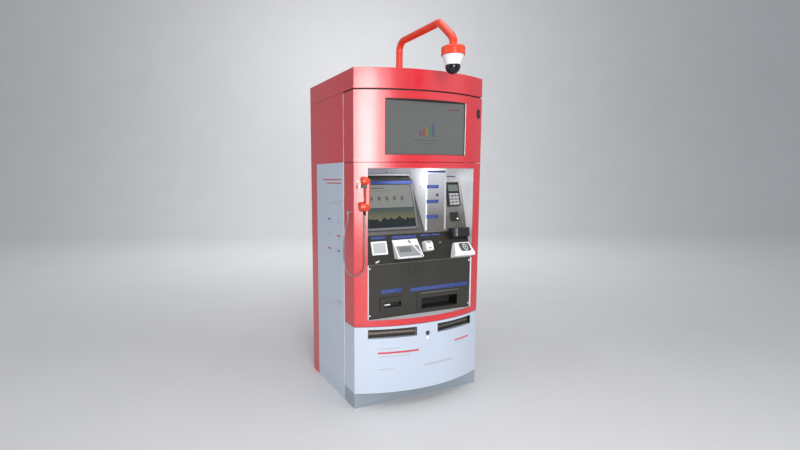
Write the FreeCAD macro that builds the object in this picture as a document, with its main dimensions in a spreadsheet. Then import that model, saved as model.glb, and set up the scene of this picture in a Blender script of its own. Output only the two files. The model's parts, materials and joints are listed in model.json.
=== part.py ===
import FreeCAD, Part
import math
import os
import Sketcher
from FreeCAD import Placement, Vector

# A floor-standing self-service teller kiosk, in millimetres.
# Origin: on the floor, at the centre of the plinth. The bowed front faces -Y, +X is to the right
# as seen from the front, and +Z is up.

# ---------------------------------------------------------------- driving dimensions

# One row of the sheet for each driving dimension: its alias and its value.
SIZES = {
    # the whole kiosk
    "cabinet_width": 900,
    "side_depth": 700,
    "bow_rise": 100,
    "plinth_height": 92,
    "lower_seam": 508.5,
    "upper_seam": 1476.5,
    "side_top": 1879,
    "deck_height": 8,
    "cap_height": 113,
    "seam_gap": 3,
    "sheet_thickness": 2.5,
    "liner_thickness": 2,
    "edge_flange": 30,
    "fit_gap": 0.3,
    "hinge_setback": 137,
    "barrel_radius": 4,
    "pin_radius": 2.5,
    "running_clearance": 0.06,
    "knuckle_gap": 0.5,
    "stile_width": 74.6,
    "opening_bottom": 547.7,
    "opening_top": 1442,
    "alcove_depth": 240,
    "console_front": -372,
    "shelf_height": 877,
    "shelf_lean": 18,
    "shelf_length": 176,
    "device_lean": 13,
    "display_lean": 16,
    "panel_lean": 29,
    "panel_drop": 51,
    # cabinet
    "bolt_inset_x": 60,
    "bolt_inset_y": 60,
    "bolt_hole_radius": 7,
    "bolt_flange_width": 100,
    "plinth_wall": 3,
    "plinth_flange": 5,
    "vent_width": 120,
    "vent_height": 6,
    "vent_pitch": 18,
    "vent_bottom": 1560,
    "vent_offset": 150,
    "cable_entry_radius": 12.5,
    "cable_entry_x": 330,
    "cable_entry_z": 180,
    "post_width": 40,
    "post_wall": 3,
    "tab_width": 2.5,
    "catch_x": 18,
    "upper_lock_z": 1781,
    "upper_lock_inset": 40,
    "lock_depth": 18.5,
    "deck_inset": 8,
    "deck_plate": 3,
    # alcove and console
    "column_inset": 168,
    "column_width": 152,
    "catch_drop": 80,
    "catch_half": 15,
    "catch_depth": 38,
    "card_slot_x": 91,
    "card_slot_width": 150,
    "card_slot_z": 594,
    "card_slot_height": 79,
    "tray_inset": 104,
    "tray_width": 280,
    "tray_bottom": 571,
    "tray_height": 74,
    "tray_depth": 90,
    "tray_frame": 13,
    "column_border": 12,
    "lens_radius": 10,
    "lens_x": 67,
    "lens_z": 1278,
    "screen_inset": 42,
    "screen_drop": 33,
    "screen_bottom": 44,
    "screen_gap": 60,
    "bezel": 18,
    "display_drop": 70,
    # devices on the console
    "pad_x": 47,
    "pad_width": 104,
    "pad_low": 57,
    "pad_length": 81,
    "pad_height": 8,
    "sign_x": 194,
    "sign_pad_width": 177,
    "cheek_thickness": 3,
    "sign_lean": 41,
    "sign_front_s": 22.5,
    "sign_front_n": 50.4,
    "sign_thickness": 12,
    "stylus_radius": 4,
    "stylus_length": 125,
    "stylus_turn": 25.6,
    "stylus_inset": 15,
    "stylus_start": 6,
    "tether_diameter": 2.5,
    "tether_inset": 74,
    "chip_x": 402,
    "chip_width": 52,
    "chip_low": 56,
    "scanner_inset": 6,
    "scanner_width": 160,
    "scanner_length": 95,
    "scanner_low": 2,
    "scanner_rise": 60,
    "reader_inset": 14,
    "reader_width": 129,
    "reader_low": 123,
    "reader_slit": 5,
    "pin_inset": 37,
    "pin_width": 93,
    "pin_low": 159,
    "pin_length": 156,
    "pin_depth": 20,
    "well_depth": 6,
    "key_pitch_x": 26,
    "key_pitch_y": 20,
    "key_width": 22,
    "key_length": 15,
    "key_rise": 5.5,
    "key_stem_radius": 3,
    "key_travel": 1.5,
    "key_first_row": 15,
    "window_inset": 54,
    "window_width": 64,
    "window_low": 62,
    "window_length": 58,
    "shutter_thickness": 2,
    # camera
    "arm_radius": 21.2,
    "arm_wall": 2.6,
    "arm_bend": 58,
    "arm_foot_y": -85,
    "arm_rise": 240,
    "arm_front_y": -520,
    "arm_drop": 113,
    "arm_tail": 45,
    "arm_foot_radius": 55,
    "arm_foot_height": 6,
    "camera_y": -650,
    "collar_height": 47,
    "collar_radius": 63,
    "housing_radius": 58.5,
    "dome_radius": 40,
    "housing_height": 50,
    "dome_rise": 7,
    "eye_drop": 4,
    "shaft_radius": 5,
    # doors
    "sign_half": 281,
    "sign_bottom": 1519,
    "sign_top": 1834,
    "sign_rim": 14,
    "sign_depth": 36,
    "lock_radius": 9,
    "cam_length": 32,
    "cam_half_width": 6,
    "cam_thickness": 3,
    "anchor_y": -297,
    "anchor_z": 1191,
    "handset_inset": 58,
    "cradle_across": -40,
    "handset_out": 35,
    "handset_back": 68,
    "handle_thickness": 30,
    "cup_back": 63,
    "ear_face": 16,
    "mouth_face": 4,
    "relief_y": 37,
    "cradle_depth": 15,
    "hook_drop": 7,
    "cup_radius": 26,
    "ear_z": 1369,
    "mouth_z": 1224,
    "handle_half": 15,
    "foot_z": 1175,
    "hook_pivot_y": -9,
    "prong_reach": 50,
    "cord_diameter": 8,
    "anchor_reach": 12,
    "outlet_near": 74,
    "outlet_inset": 75,
    "outlet_bottom": 435,
    "outlet_top": 491,
    "chute_depth": 34,
    "chute_wall": 2,
    "flap_pivot_y": 14,
    "flap_pivot_drop": 5,
    "lower_lock_z": 443,
    "lower_lock_depth": 44,
    # inside
    "computer_width": 400,
    "computer_depth": 90,
    "computer_height": 400,
    "computer_bottom": 700,
    "printer_inset": 10,
    "printer_front": -300,
    "printer_depth": 220,
}


doc = FreeCAD.newDocument("TellerKiosk")
sheet = doc.addObject("Spreadsheet::Sheet", "Sizes")
nodes = []
for row, (alias, value) in enumerate(SIZES.items(), start=1):
    sheet.set(f"A{row}", str(value))
    sheet.setAlias(f"A{row}", alias)


# ---------------------------------------------------------------- sizes and expressions

class Size:
    """A length or angle: its value, and the expression that works it out from the sheet."""

    def __init__(self, value, text):
        self.value = value
        self.text = text

    def __add__(self, other):
        return joined(self, as_size(other), "+", self.value + as_size(other).value)

    def __radd__(self, other):
        return as_size(other) + self

    def __sub__(self, other):
        return joined(self, as_size(other), "-", self.value - as_size(other).value)

    def __rsub__(self, other):
        return as_size(other) - self

    def __mul__(self, other):
        return joined(self, as_size(other), "*", self.value * as_size(other).value)

    def __rmul__(self, other):
        return as_size(other) * self

    def __truediv__(self, other):
        return joined(self, as_size(other), "/", self.value / as_size(other).value)

    def __neg__(self):
        return joined(as_size(0), self, "-", -self.value)


def joined(left, right, sign, value):
    return Size(value, f"({left.text} {sign} {right.text})")


def as_size(number):
    if isinstance(number, Size):
        return number
    return Size(float(number), f"({float(number)})")


def driving(alias):
    """A driving dimension, tied to its cell in the sheet."""
    return Size(float(SIZES[alias]), f"Sizes.{alias}")


def root(size):
    return Size(math.sqrt(size.value), f"sqrt({size.text})")


def sine(angle):
    return Size(math.sin(math.radians(angle.value)), f"sin({angle.text})")


def cosine(angle):
    return Size(math.cos(math.radians(angle.value)), f"cos({angle.text})")


def tangent(angle):
    return Size(math.tan(math.radians(angle.value)), f"tan({angle.text})")


def bind(target, name, size):
    target.setExpression(name, as_size(size).text)


# ---------------------------------------------------------------- frames and solids

class Frame:
    """A local frame: turned about X (a leaning panel) or about Z (a turned fitting)."""

    def __init__(self, origin, axis="x", angle=0):
        self.origin = [as_size(value) for value in origin]
        self.axis = axis
        self.angle = as_size(angle)

    def point(self, across, along, out):
        """The place in the kiosk of a point that is given in this frame."""
        across, along, out = as_size(across), as_size(along), as_size(out)
        turn_cos, turn_sin = cosine(self.angle), sine(self.angle)
        if self.axis == "x":
            moved = [across, along * turn_cos - out * turn_sin, along * turn_sin + out * turn_cos]
        else:
            moved = [across * turn_cos - along * turn_sin, across * turn_sin + along * turn_cos, out]
        return [start + step for start, step in zip(self.origin, moved)]

    def turn(self):
        axes = {"x": "vector(1; 0; 0)", "z": "vector(0; 0; 1)"}
        return f"rotation({axes[self.axis]}; {self.angle.text})"


KIOSK = Frame((0, 0, 0))
TURNS = {"z": None, "-z": "rotation(vector(1; 0; 0); 180)", "x": "rotation(vector(0; 1; 0); 90)",
         "y": "rotation(vector(1; 0; 0); -90)", "-y": "rotation(vector(1; 0; 0); 90)"}


def put(solid, place, frame, turn=None):
    """Bind a solid's placement to a place in a frame, with an optional turn of its own."""
    x, y, z = [value.text for value in frame.point(*place)]
    turns = frame.turn() if turn is None else f"{frame.turn()} * {turn}"
    solid.setExpression("Placement", f"placement(vector({x}; {y}; {z}); {turns})")


def box(name, xs, ys, zs, frame=KIOSK):
    solid = doc.addObject("Part::Box", name)
    for side, (low, high) in zip(("Length", "Width", "Height"), (xs, ys, zs)):
        bind(solid, side, as_size(high) - low)
    put(solid, (xs[0], ys[0], zs[0]), frame)
    return solid


def rod(name, radius, length, place, direction="z", frame=KIOSK):
    solid = doc.addObject("Part::Cylinder", name)
    bind(solid, "Radius", radius)
    bind(solid, "Height", length)
    put(solid, place, frame, TURNS[direction])
    return solid


def cone(name, radius_start, radius_end, length, place, direction="z", frame=KIOSK):
    solid = doc.addObject("Part::Cone", name)
    bind(solid, "Radius1", radius_start)
    bind(solid, "Radius2", radius_end)
    bind(solid, "Height", length)
    put(solid, place, frame, TURNS[direction])
    return solid


def ball(name, radius, place, frame=KIOSK):
    solid = doc.addObject("Part::Sphere", name)
    bind(solid, "Radius", radius)
    put(solid, place, frame)
    return solid


def fuse(name, *solids):
    joint = doc.addObject("Part::MultiFuse", name)
    joint.Shapes = list(solids)
    joint.Refine = True
    return joint


def cut(name, base, *tools):
    result = doc.addObject("Part::Cut", name)
    result.Base = base
    result.Tool = tools[0] if len(tools) == 1 else fuse(name + "_tools", *tools)
    result.Refine = True
    return result


def common(name, first, second):
    result = doc.addObject("Part::Common", name)
    result.Base = first
    result.Tool = second
    result.Refine = True
    return result



def node(label, solid):
    """Give a finished sub-part its name."""
    solid.Label = label
    nodes.append(solid)
    return solid


# ---------------------------------------------------------------- sketched bodies

def sketch_on(body, name, role, offset):
    sketch = body.newObject("Sketcher::SketchObject", name)
    plane = [feature for feature in body.Origin.OriginFeatures if feature.Role == role][0]
    sketch.AttachmentSupport = (plane, [""])
    sketch.MapMode = "FlatFace"
    bind(sketch, "AttachmentOffset.Base.z", offset)
    return sketch


def hold(sketch, kind, value, *where):
    """Add one dimension to a sketch and bind it to its size."""
    number = sketch.addConstraint(Sketcher.Constraint(kind, *where, value.value))
    name = f"size_{number}"
    sketch.renameConstraint(number, name)
    bind(sketch, f"Constraints.{name}", value)


def hold_point(sketch, edge, end, across, up):
    if across.text == "(0.0)":
        sketch.addConstraint(Sketcher.Constraint("PointOnObject", edge, end, -2))
    else:
        hold(sketch, "DistanceX", across, -1, 1, edge, end)
    if up.text == "(0.0)":
        sketch.addConstraint(Sketcher.Constraint("PointOnObject", edge, end, -1))
    else:
        hold(sketch, "DistanceY", up, -1, 1, edge, end)


def add_polygon(sketch, points):
    points = [(as_size(across), as_size(up)) for across, up in points]
    first = sketch.GeometryCount
    count = len(points)
    for number in range(count):
        start = points[number]
        end = points[(number + 1) % count]
        ends = [Vector(point[0].value, point[1].value, 0) for point in (start, end)]
        line = Part.LineSegment(*ends)
        sketch.addGeometry(line, False)
    for number in range(count):
        after = first + (number + 1) % count
        sketch.addConstraint(Sketcher.Constraint("Coincident", first + number, 2, after, 1))
    for number, (across, up) in enumerate(points):
        hold_point(sketch, first + number, 1, across, up)


def add_circle(sketch, across, up, radius):
    across, up, radius = as_size(across), as_size(up), as_size(radius)
    number = sketch.GeometryCount
    sketch.addGeometry(Part.Circle(Vector(across.value, up.value, 0), Vector(0, 0, 1), radius.value), False)
    hold_point(sketch, number, 3, across, up)
    hold(sketch, "Radius", radius, number)


def rectangle(xs, ys):
    return [(xs[0], ys[0]), (xs[1], ys[0]), (xs[1], ys[1]), (xs[0], ys[1])]


def sheet_body(name, role, offset, thickness, outlines, circles=(), frame=KIOSK, backwards=False):
    """A flat or prismatic piece: the first outline is its edge, the others and the circles are holes."""
    body = doc.addObject("PartDesign::Body", name)
    sketch = sketch_on(body, name + "_outline", role, offset)
    for outline in outlines:
        add_polygon(sketch, outline)
    for circle in circles:
        add_circle(sketch, *circle)
    pad = body.newObject("PartDesign::Pad", name + "_pad")
    pad.Profile = sketch
    pad.Reversed = backwards
    bind(pad, "Length", thickness)
    put(body, (0, 0, 0), frame)
    return body


def prism(name, xs, profile, frame=KIOSK):
    """A side profile of (y, z) points, carried along X from xs[0] to xs[1]."""
    return sheet_body(name, "YZ_Plane", xs[0], as_size(xs[1]) - xs[0], [profile], frame=frame)


def pocket(body, name, role, offset, depth, outlines, circles=(), backwards=False):
    sketch = sketch_on(body, name + "_outline", role, offset)
    for outline in outlines:
        add_polygon(sketch, outline)
    for circle in circles:
        add_circle(sketch, *circle)
    feature = body.newObject("PartDesign::Pocket", name)
    feature.Profile = sketch
    feature.Reversed = backwards
    bind(feature, "Length", depth)
    return feature


def turned(name, profile, place, frame=KIOSK):
    """A lathe-turned piece about Z: the profile is (radius, height) points."""
    body = doc.addObject("PartDesign::Body", name)
    sketch = sketch_on(body, name + "_profile", "XZ_Plane", 0)
    add_polygon(sketch, profile)
    turn = body.newObject("PartDesign::Revolution", name + "_turn")
    turn.Profile = sketch
    turn.ReferenceAxis = (sketch, ["V_Axis"])
    turn.Angle = 360
    put(body, place, frame)
    return body


# ---------------------------------------------------------------- tubes along a route

def route_wire(points, radii):
    """Straight runs joined by tangent arcs: one radius for each inner point."""
    corners = [Vector(*point) for point in points]
    edges = []
    here = corners[0]
    for before, corner, after, radius in zip(corners, corners[1:], corners[2:], radii):
        way_in = (corner - before).normalize()
        way_out = (after - corner).normalize()
        half = way_in.getAngle(way_out) / 2
        trim = radius * math.tan(half)
        start = corner - way_in * trim
        end = corner + way_out * trim
        middle = corner + (way_out - way_in).normalize() * (radius / math.cos(half) - radius)
        edges.append(Part.LineSegment(here, start).toShape())
        edges.append(Part.Arc(start, middle, end).toShape())
        here = end
    edges.append(Part.LineSegment(here, corners[-1]).toShape())
    return Part.Wire(edges)


def swept(wire, radius):
    direction = wire.Edges[0].tangentAt(wire.Edges[0].FirstParameter)
    ring = Part.Wire(Part.makeCircle(radius, wire.Edges[0].valueAt(wire.Edges[0].FirstParameter), direction))
    return wire.makePipeShell([ring], True, True)


def cord(label, points, diameter):
    """A cord's plain tube: each arc is as large as its two runs allow."""
    corners = [Vector(*point) for point in points]
    radii = []
    for before, corner, after in zip(corners, corners[1:], corners[2:]):
        half = (corner - before).getAngle(after - corner) / 2
        shorter = min((corner - before).Length, (after - corner).Length)
        radii.append(0.45 * shorter / math.tan(half))
    wire = route_wire(points, radii)
    tube = doc.addObject("Part::Feature", label)
    tube.Shape = swept(wire, diameter / 2)
    ideal = math.pi * diameter ** 2 / 4 * wire.Length
    print(f"{label}: length {wire.Length:.0f} mm, radii", [round(radius) for radius in radii],
          f"volume is {tube.Shape.Volume / ideal:.4f} of section times length")
    return node(label, tube)


# ---------------------------------------------------------------- the whole kiosk

cabinet_width = driving("cabinet_width")
side_depth = driving("side_depth")
bow_rise = driving("bow_rise")
plinth_height = driving("plinth_height")
lower_seam = driving("lower_seam")
upper_seam = driving("upper_seam")
side_top = driving("side_top")
deck_height = driving("deck_height")
cap_height = driving("cap_height")
seam_gap = driving("seam_gap")
sheet_thickness = driving("sheet_thickness")
liner_thickness = driving("liner_thickness")
edge_flange = driving("edge_flange")
fit_gap = driving("fit_gap")

hinge_setback = driving("hinge_setback")
barrel_radius = driving("barrel_radius")
pin_radius = driving("pin_radius")
running_clearance = driving("running_clearance")
knuckle_gap = driving("knuckle_gap")

stile_width = driving("stile_width")
opening_bottom = driving("opening_bottom")
opening_top = driving("opening_top")
alcove_depth = driving("alcove_depth")

console_front = driving("console_front")
shelf_height = driving("shelf_height")
shelf_lean = driving("shelf_lean")
shelf_length = driving("shelf_length")
device_lean = driving("device_lean")
display_lean = driving("display_lean")
panel_lean = driving("panel_lean")
panel_drop = driving("panel_drop")

cap_bottom = side_top + deck_height
cap_top = cap_bottom + cap_height
half_width = cabinet_width / 2
front_corner = -side_depth / 2
rear = side_depth / 2
bow_radius = (half_width * half_width + bow_rise * bow_rise) / (2 * bow_rise)
bow_centre = front_corner - bow_rise + bow_radius
hinge_x = -half_width + barrel_radius
hinge_y = front_corner + hinge_setback
door_back = hinge_y - barrel_radius - knuckle_gap
panel_front = hinge_y + barrel_radius + knuckle_gap


def bow_y(across, inset=0):
    """How far forward the bowed front is at a place across the kiosk."""
    radius = bow_radius - inset
    return bow_centre - root(radius * radius - as_size(across) * across)


def bowed(name, inset, back, zs):
    """A block with the kiosk's bowed front, its sides and front moved in by the inset."""
    depth_front = front_corner - bow_rise - 10
    block = box(name + "_block", (-half_width + inset, half_width - inset), (depth_front, back), zs)
    drum = rod(name + "_drum", bow_radius - inset, as_size(zs[1]) - zs[0], (0, bow_centre, zs[0]))
    return common(name, block, drum)


# ---------------------------------------------------------------- cabinet

bolt_inset_x = driving("bolt_inset_x")
bolt_inset_y = driving("bolt_inset_y")
bolt_hole_radius = driving("bolt_hole_radius")
bolt_flange_width = driving("bolt_flange_width")
plinth_wall = driving("plinth_wall")
plinth_flange = driving("plinth_flange")


def make_plinth():
    """A welded plinth: deck plate, skirts, and a flange around the floor with four bolt holes."""
    outer = rectangle((-half_width, half_width), (front_corner, rear))
    body = sheet_body("plinth", "XY_Plane", 0, plinth_height, [outer])
    reach_x = half_width - bolt_flange_width
    reach_y = rear - bolt_flange_width
    hollow = rectangle((-half_width + plinth_wall, half_width - plinth_wall),
                       (front_corner + plinth_wall, rear - plinth_wall))
    mouth = rectangle((-reach_x, reach_x), (-reach_y, reach_y))
    bolts = [(side_x * (half_width - bolt_inset_x), side_y * (rear - bolt_inset_y), bolt_hole_radius)
             for side_x in (-1, 1) for side_y in (-1, 1)]
    pocket(body, "plinth_mouth", "XY_Plane", 0, plinth_flange + 1, [mouth], bolts, backwards=True)
    pocket(body, "plinth_hollow", "XY_Plane", plinth_flange, plinth_height - plinth_flange - plinth_wall,
           [hollow], backwards=True)
    node("plinth", body)


def make_side_panels():
    for label, outside, inside in (("side_panel_left", -half_width, -half_width + sheet_thickness),
                                   ("side_panel_right", half_width - sheet_thickness, half_width)):
        outline = rectangle((panel_front, rear - sheet_thickness), (plinth_height, side_top))
        node(label, sheet_body(label, "YZ_Plane", outside, inside - outside, [outline]))


vent_width = driving("vent_width")
vent_height = driving("vent_height")
vent_pitch = driving("vent_pitch")
vent_bottom = driving("vent_bottom")
vent_offset = driving("vent_offset")
cable_entry_radius = driving("cable_entry_radius")
cable_entry_x = driving("cable_entry_x")
cable_entry_z = driving("cable_entry_z")
VENT_ROWS = 8


def make_rear_panel():
    """The back sheet, with two banks of vent slots and a round cable entry."""
    outlines = [rectangle((-half_width, half_width), (plinth_height, side_top))]
    for side in (-1, 1):
        for row in range(VENT_ROWS):
            low = vent_bottom + row * vent_pitch
            middle = side * vent_offset
            across = (middle - vent_width / 2, middle + vent_width / 2)
            outlines.append(rectangle(across, (low, low + vent_height)))
    body = sheet_body("rear_panel", "XZ_Plane", -rear, sheet_thickness, outlines,
                      [(cable_entry_x, cable_entry_z, cable_entry_radius)])
    node("rear_panel", body)


post_width = driving("post_width")
post_wall = driving("post_wall")
tab_width = driving("tab_width")
KNUCKLES = 5


def knuckle_spans(low, high):
    """Five knuckle spans along a door's hinge: odd ones belong to the cabinet, even ones to the door."""
    pitch = (as_size(high) - low) / KNUCKLES
    return [(low + pitch * number + knuckle_gap / 2, low + pitch * (number + 1) - knuckle_gap / 2)
            for number in range(KNUCKLES)]


upper_door_z = (upper_seam + seam_gap / 2, side_top - 1)
middle_door_z = (lower_seam + seam_gap / 2, upper_seam - seam_gap / 2)
lower_door_z = (plinth_height + 2, lower_seam - seam_gap / 2)
DOORS_Z = {"upper": upper_door_z, "middle": middle_door_z, "lower": lower_door_z}
catch_x = driving("catch_x")
upper_lock_z = driving("upper_lock_z")
upper_lock_inset = driving("upper_lock_inset")
lock_depth = driving("lock_depth")


def make_post(name, inner_x, outer_x):
    """A square steel tube standing on the plinth."""
    front = panel_front + fit_gap
    outer = rectangle((inner_x, outer_x), (front, front + post_width))
    low_x, high_x = inner_x + post_wall, outer_x - post_wall
    inner = rectangle((low_x, high_x), (front + post_wall, front + post_width - post_wall))
    return sheet_body(name, "XY_Plane", plinth_height, side_top - plinth_height, [outer, inner])


def make_left_post():
    """The left post carries the cabinet's hinge knuckles and the pins on which the doors turn."""
    outer = -half_width + sheet_thickness
    parts = [make_post("left_tube", outer, outer + post_width)]
    for door, (low, high) in DOORS_Z.items():
        for number, (start, end) in enumerate(knuckle_spans(low, high)):
            if number % 2:
                continue
            length = end - start
            parts.append(rod(f"{door}_barrel_{number}", barrel_radius, length, (hinge_x, hinge_y, start)))
            tab_x = (outer + 0.2, outer + 0.2 + tab_width)
            parts.append(box(f"{door}_tab_{number}", tab_x, (hinge_y, panel_front + fit_gap), (start, end)))
        parts.append(rod(f"{door}_pin", pin_radius, as_size(high) - low - knuckle_gap,
                         (hinge_x, hinge_y, low + knuckle_gap / 2)))
    node("front_post_left", fuse("left_post", *parts))


def make_right_post():
    """The right post, with the bracket that the upper door's lock cam hooks behind."""
    outer = half_width - sheet_thickness
    tube = make_post("right_tube", outer - post_width, outer)
    arm_front = bow_y(outer, sheet_thickness) + 3.5
    arm_x = (outer - fit_gap - 3, outer - fit_gap)
    height = (upper_lock_z - 8, upper_lock_z + 8)
    arm = box("catch_arm", arm_x, (arm_front, panel_front + fit_gap), height)
    lip = box("catch_lip", (arm_x[0] - catch_x, arm_x[1]), (arm_front, arm_front + 3), height)
    node("front_post_right", fuse("right_post", tube, arm, lip))


deck_inset = driving("deck_inset")
deck_plate = driving("deck_plate")


def make_top():
    """The deck closes the cabinet, and the cap sits on it with a shadow gap under its edge."""
    deck = bowed("deck", deck_inset, rear - deck_inset, (side_top, cap_bottom))
    deck_recess = bowed("deck_recess", deck_inset + edge_flange, rear - deck_inset - edge_flange,
                        (side_top - 1, cap_bottom - deck_plate))
    node("top_deck", cut("deck_tray", deck, deck_recess))
    outer = bowed("cap_outer", 0, rear, (cap_bottom, cap_top))
    hollow_z = (cap_bottom + sheet_thickness, cap_top - sheet_thickness)
    hollow = bowed("cap_hollow", sheet_thickness, rear - sheet_thickness, hollow_z)
    mouth_z = (cap_bottom - 1, cap_bottom + sheet_thickness + 1)
    mouth = bowed("cap_mouth", edge_flange, rear - edge_flange, mouth_z)
    node("top_cap", cut("cap", outer, hollow, mouth))


# ---------------------------------------------------------------- alcove and console

liner_half = half_width - stile_width + 4.6
liner_back = console_front + alcove_depth + 22
liner_bottom = opening_bottom - 1
liner_top = opening_top + 2
device_origin_y = console_front + shelf_length * sine(shelf_lean)
device_origin_z = shelf_height + shelf_length * cosine(shelf_lean) + 0.8
shelf_frame = Frame((0, console_front, shelf_height), "x", 90 - shelf_lean)
device_frame = Frame((0, device_origin_y, device_origin_z), "x", 90 - device_lean)
display_frame = Frame((0, device_origin_y, device_origin_z), "x", 90 - display_lean)
panel_frame = Frame((0, device_origin_y, device_origin_z), "x", 90 - panel_lean)
console_half = liner_half - fit_gap

column_inset = driving("column_inset")
column_width = driving("column_width")
column_right = liner_half - column_inset
column_left = column_right - column_width
catch_drop = driving("catch_drop")
catch_half = driving("catch_half")
catch_depth = driving("catch_depth")


def make_alcove_liner():
    """The white four-sided liner of the alcove, its front edge bowed like the door before it."""
    front_inset = sheet_thickness + 1.5
    zs = (liner_bottom - liner_thickness, liner_top + liner_thickness)
    wide = liner_half + liner_thickness
    block = box("liner_block", (-wide, wide), (front_corner - bow_rise, liner_back), zs)
    drum = rod("liner_drum", bow_radius - front_inset, zs[1] - zs[0], (0, bow_centre, zs[0]))
    shell = common("liner_shell", block, drum)
    hollow = box("liner_hollow", (-liner_half, liner_half), (front_corner - bow_rise - 1, liner_back + 1),
                 (liner_bottom, liner_top))
    walls = cut("liner_walls", shell, hollow)
    post_inner = half_width - sheet_thickness - post_width
    flange_y = (panel_front + post_width / 2, panel_front + post_width / 2 + sheet_thickness)
    flange_z = (opening_bottom + 50, opening_top - 50)
    left = box("liner_flange_left", (-post_inner, -wide), flange_y, flange_z)
    right = box("liner_flange_right", (wide, post_inner), flange_y, flange_z)
    catch_y = front_corner - bow_rise + catch_depth
    catch_z = (zs[0] - catch_drop, zs[0])
    catch = box("lower_catch", (-catch_half, catch_half), (catch_y, catch_y + 3), catch_z)
    node("alcove_liner", fuse("liner", walls, left, right, catch))


card_slot_x = driving("card_slot_x")
card_slot_width = driving("card_slot_width")
card_slot_z = driving("card_slot_z")
card_slot_height = driving("card_slot_height")
tray_inset = driving("tray_inset")
tray_width = driving("tray_width")
tray_bottom = driving("tray_bottom")
tray_height = driving("tray_height")
tray_depth = driving("tray_depth")
tray_frame = driving("tray_frame")
tray_right = liner_half - tray_inset
tray_left = tray_right - tray_width
card_left = -liner_half + card_slot_x
card_right = card_left + card_slot_width


def make_console_panels():
    """The brushed steel console: a flat lower panel, a leaning shelf, and two panels above it."""
    lower_z = (liner_bottom + fit_gap, shelf_height - 1)
    outline = rectangle((-console_half, console_half), lower_z)
    slot = rectangle((card_left + 4, card_right - 4), (card_slot_z + 4, card_slot_z + card_slot_height - 4))
    mouth = rectangle((tray_left, tray_right), (tray_bottom, tray_bottom + tray_height))
    lower = sheet_body("lower_panel", "XZ_Plane", -console_front - 3, 3, [outline, slot, mouth])
    node("lower_panel", lower)
    shelf = rectangle((-console_half, console_half), (0, shelf_length))
    node("shelf_panel", sheet_body("shelf_panel", "XY_Plane", 0, sheet_thickness, [shelf],
                                   frame=shelf_frame, backwards=True))
    panel_length = (liner_top - device_origin_z) / cosine(panel_lean) - panel_drop
    back = rectangle((-console_half, column_left - fit_gap), (0, panel_length))
    node("display_panel", sheet_body("display_panel", "XY_Plane", 0, sheet_thickness, [back],
                                     frame=panel_frame, backwards=True))
    device_top = (liner_top - fit_gap - device_origin_z) / cosine(device_lean)
    side = rectangle((column_right + fit_gap, console_half), (0, device_top))
    node("device_panel", sheet_body("device_panel", "XY_Plane", 0, sheet_thickness, [side],
                                    frame=device_frame, backwards=True))


column_border = driving("column_border")
lens_radius = driving("lens_radius")
lens_x = driving("lens_x")
lens_z = driving("lens_z")


def make_service_column():
    """A folded housing with an inset face plate and a round sensor window, open at its back."""
    front = device_origin_y - 0.4
    low, high = device_origin_z + fit_gap, liner_top - fit_gap
    wall = liner_thickness
    outer = box("column_outer", (column_left, column_right), (front, liner_back), (low, high))
    hollow = box("column_hollow", (column_left + wall, column_right - wall),
                 (front + wall + 1, liner_back + 1), (low + wall, high - wall))
    face = box("column_face", (column_left + column_border, column_right - column_border),
               (front - 1, front + 1), (low + column_border, high - 2 * column_border))
    lens = rod("column_lens", lens_radius, 2, (column_right - lens_x, front - 0.2, lens_z), "y")
    node("service_column", cut("column", outer, hollow, face, lens))


screen_inset = driving("screen_inset")
screen_drop = driving("screen_drop")
screen_bottom = driving("screen_bottom")
screen_gap = driving("screen_gap")
bezel = driving("bezel")
display_drop = driving("display_drop")
display_top = (liner_top - device_origin_z) / cosine(display_lean) - display_drop
screen_right = column_left - screen_gap
screen_left = -liner_half + screen_inset
display_x = (screen_left - bezel, screen_right + bezel)


def make_touch_display():
    """A wedge-shaped display housing that stands on the leaning panel, with an inset screen."""
    bottom = display_frame.point(0, screen_bottom - bezel, 0)
    top = display_frame.point(0, display_top, 0)
    gap = fit_gap / cosine(panel_lean)
    behind = [device_origin_y + (point[2] - device_origin_z) * tangent(panel_lean) - gap
              for point in (bottom, top)]
    profile = [(bottom[1], bottom[2]), (top[1], top[2]), (behind[1], top[2]), (behind[0], bottom[2])]
    housing = prism("display_housing", display_x, profile)
    recess = box("screen_recess", (screen_left, screen_right),
                 (screen_bottom, display_top - screen_drop), (-1.5, 5), display_frame)
    node("touch_display", cut("display", housing, recess))


# ---------------------------------------------------------------- devices on the console

pad_x = driving("pad_x")
pad_width = driving("pad_width")
pad_low = driving("pad_low")
pad_length = driving("pad_length")
pad_height = driving("pad_height")
pad_left = -liner_half + pad_x


def make_card_pad():
    """A framed contactless card pad that lies on the shelf."""
    xs = (pad_left, pad_left + pad_width)
    ys = (pad_low, pad_low + pad_length)
    frame_box = box("card_frame", xs, ys, (0, pad_height), shelf_frame)
    recess = box("card_recess", (xs[0] + 9, xs[1] - 9), (ys[0] + 9, ys[1] - 9),
                 (pad_height - 1, pad_height + 5), shelf_frame)
    node("card_pad", cut("card", frame_box, recess))


sign_x = driving("sign_x")
sign_pad_width = driving("sign_pad_width")
cheek_thickness = driving("cheek_thickness")
sign_lean = driving("sign_lean")
sign_front_s = driving("sign_front_s")
sign_front_n = driving("sign_front_n")
sign_thickness = driving("sign_thickness")
sign_left = -liner_half + sign_x
sign_right = sign_left + sign_pad_width
sign_rise = sign_lean - shelf_lean
sign_frame = Frame(shelf_frame.point(0, sign_front_s, sign_front_n), "x", 90 - sign_lean)
stylus_radius = driving("stylus_radius")
stylus_length = driving("stylus_length")
stylus_turn = driving("stylus_turn")
stylus_inset = driving("stylus_inset")
stylus_start = driving("stylus_start")
stylus_end = (sign_right - stylus_inset, stylus_start, stylus_radius + fit_gap)


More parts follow.
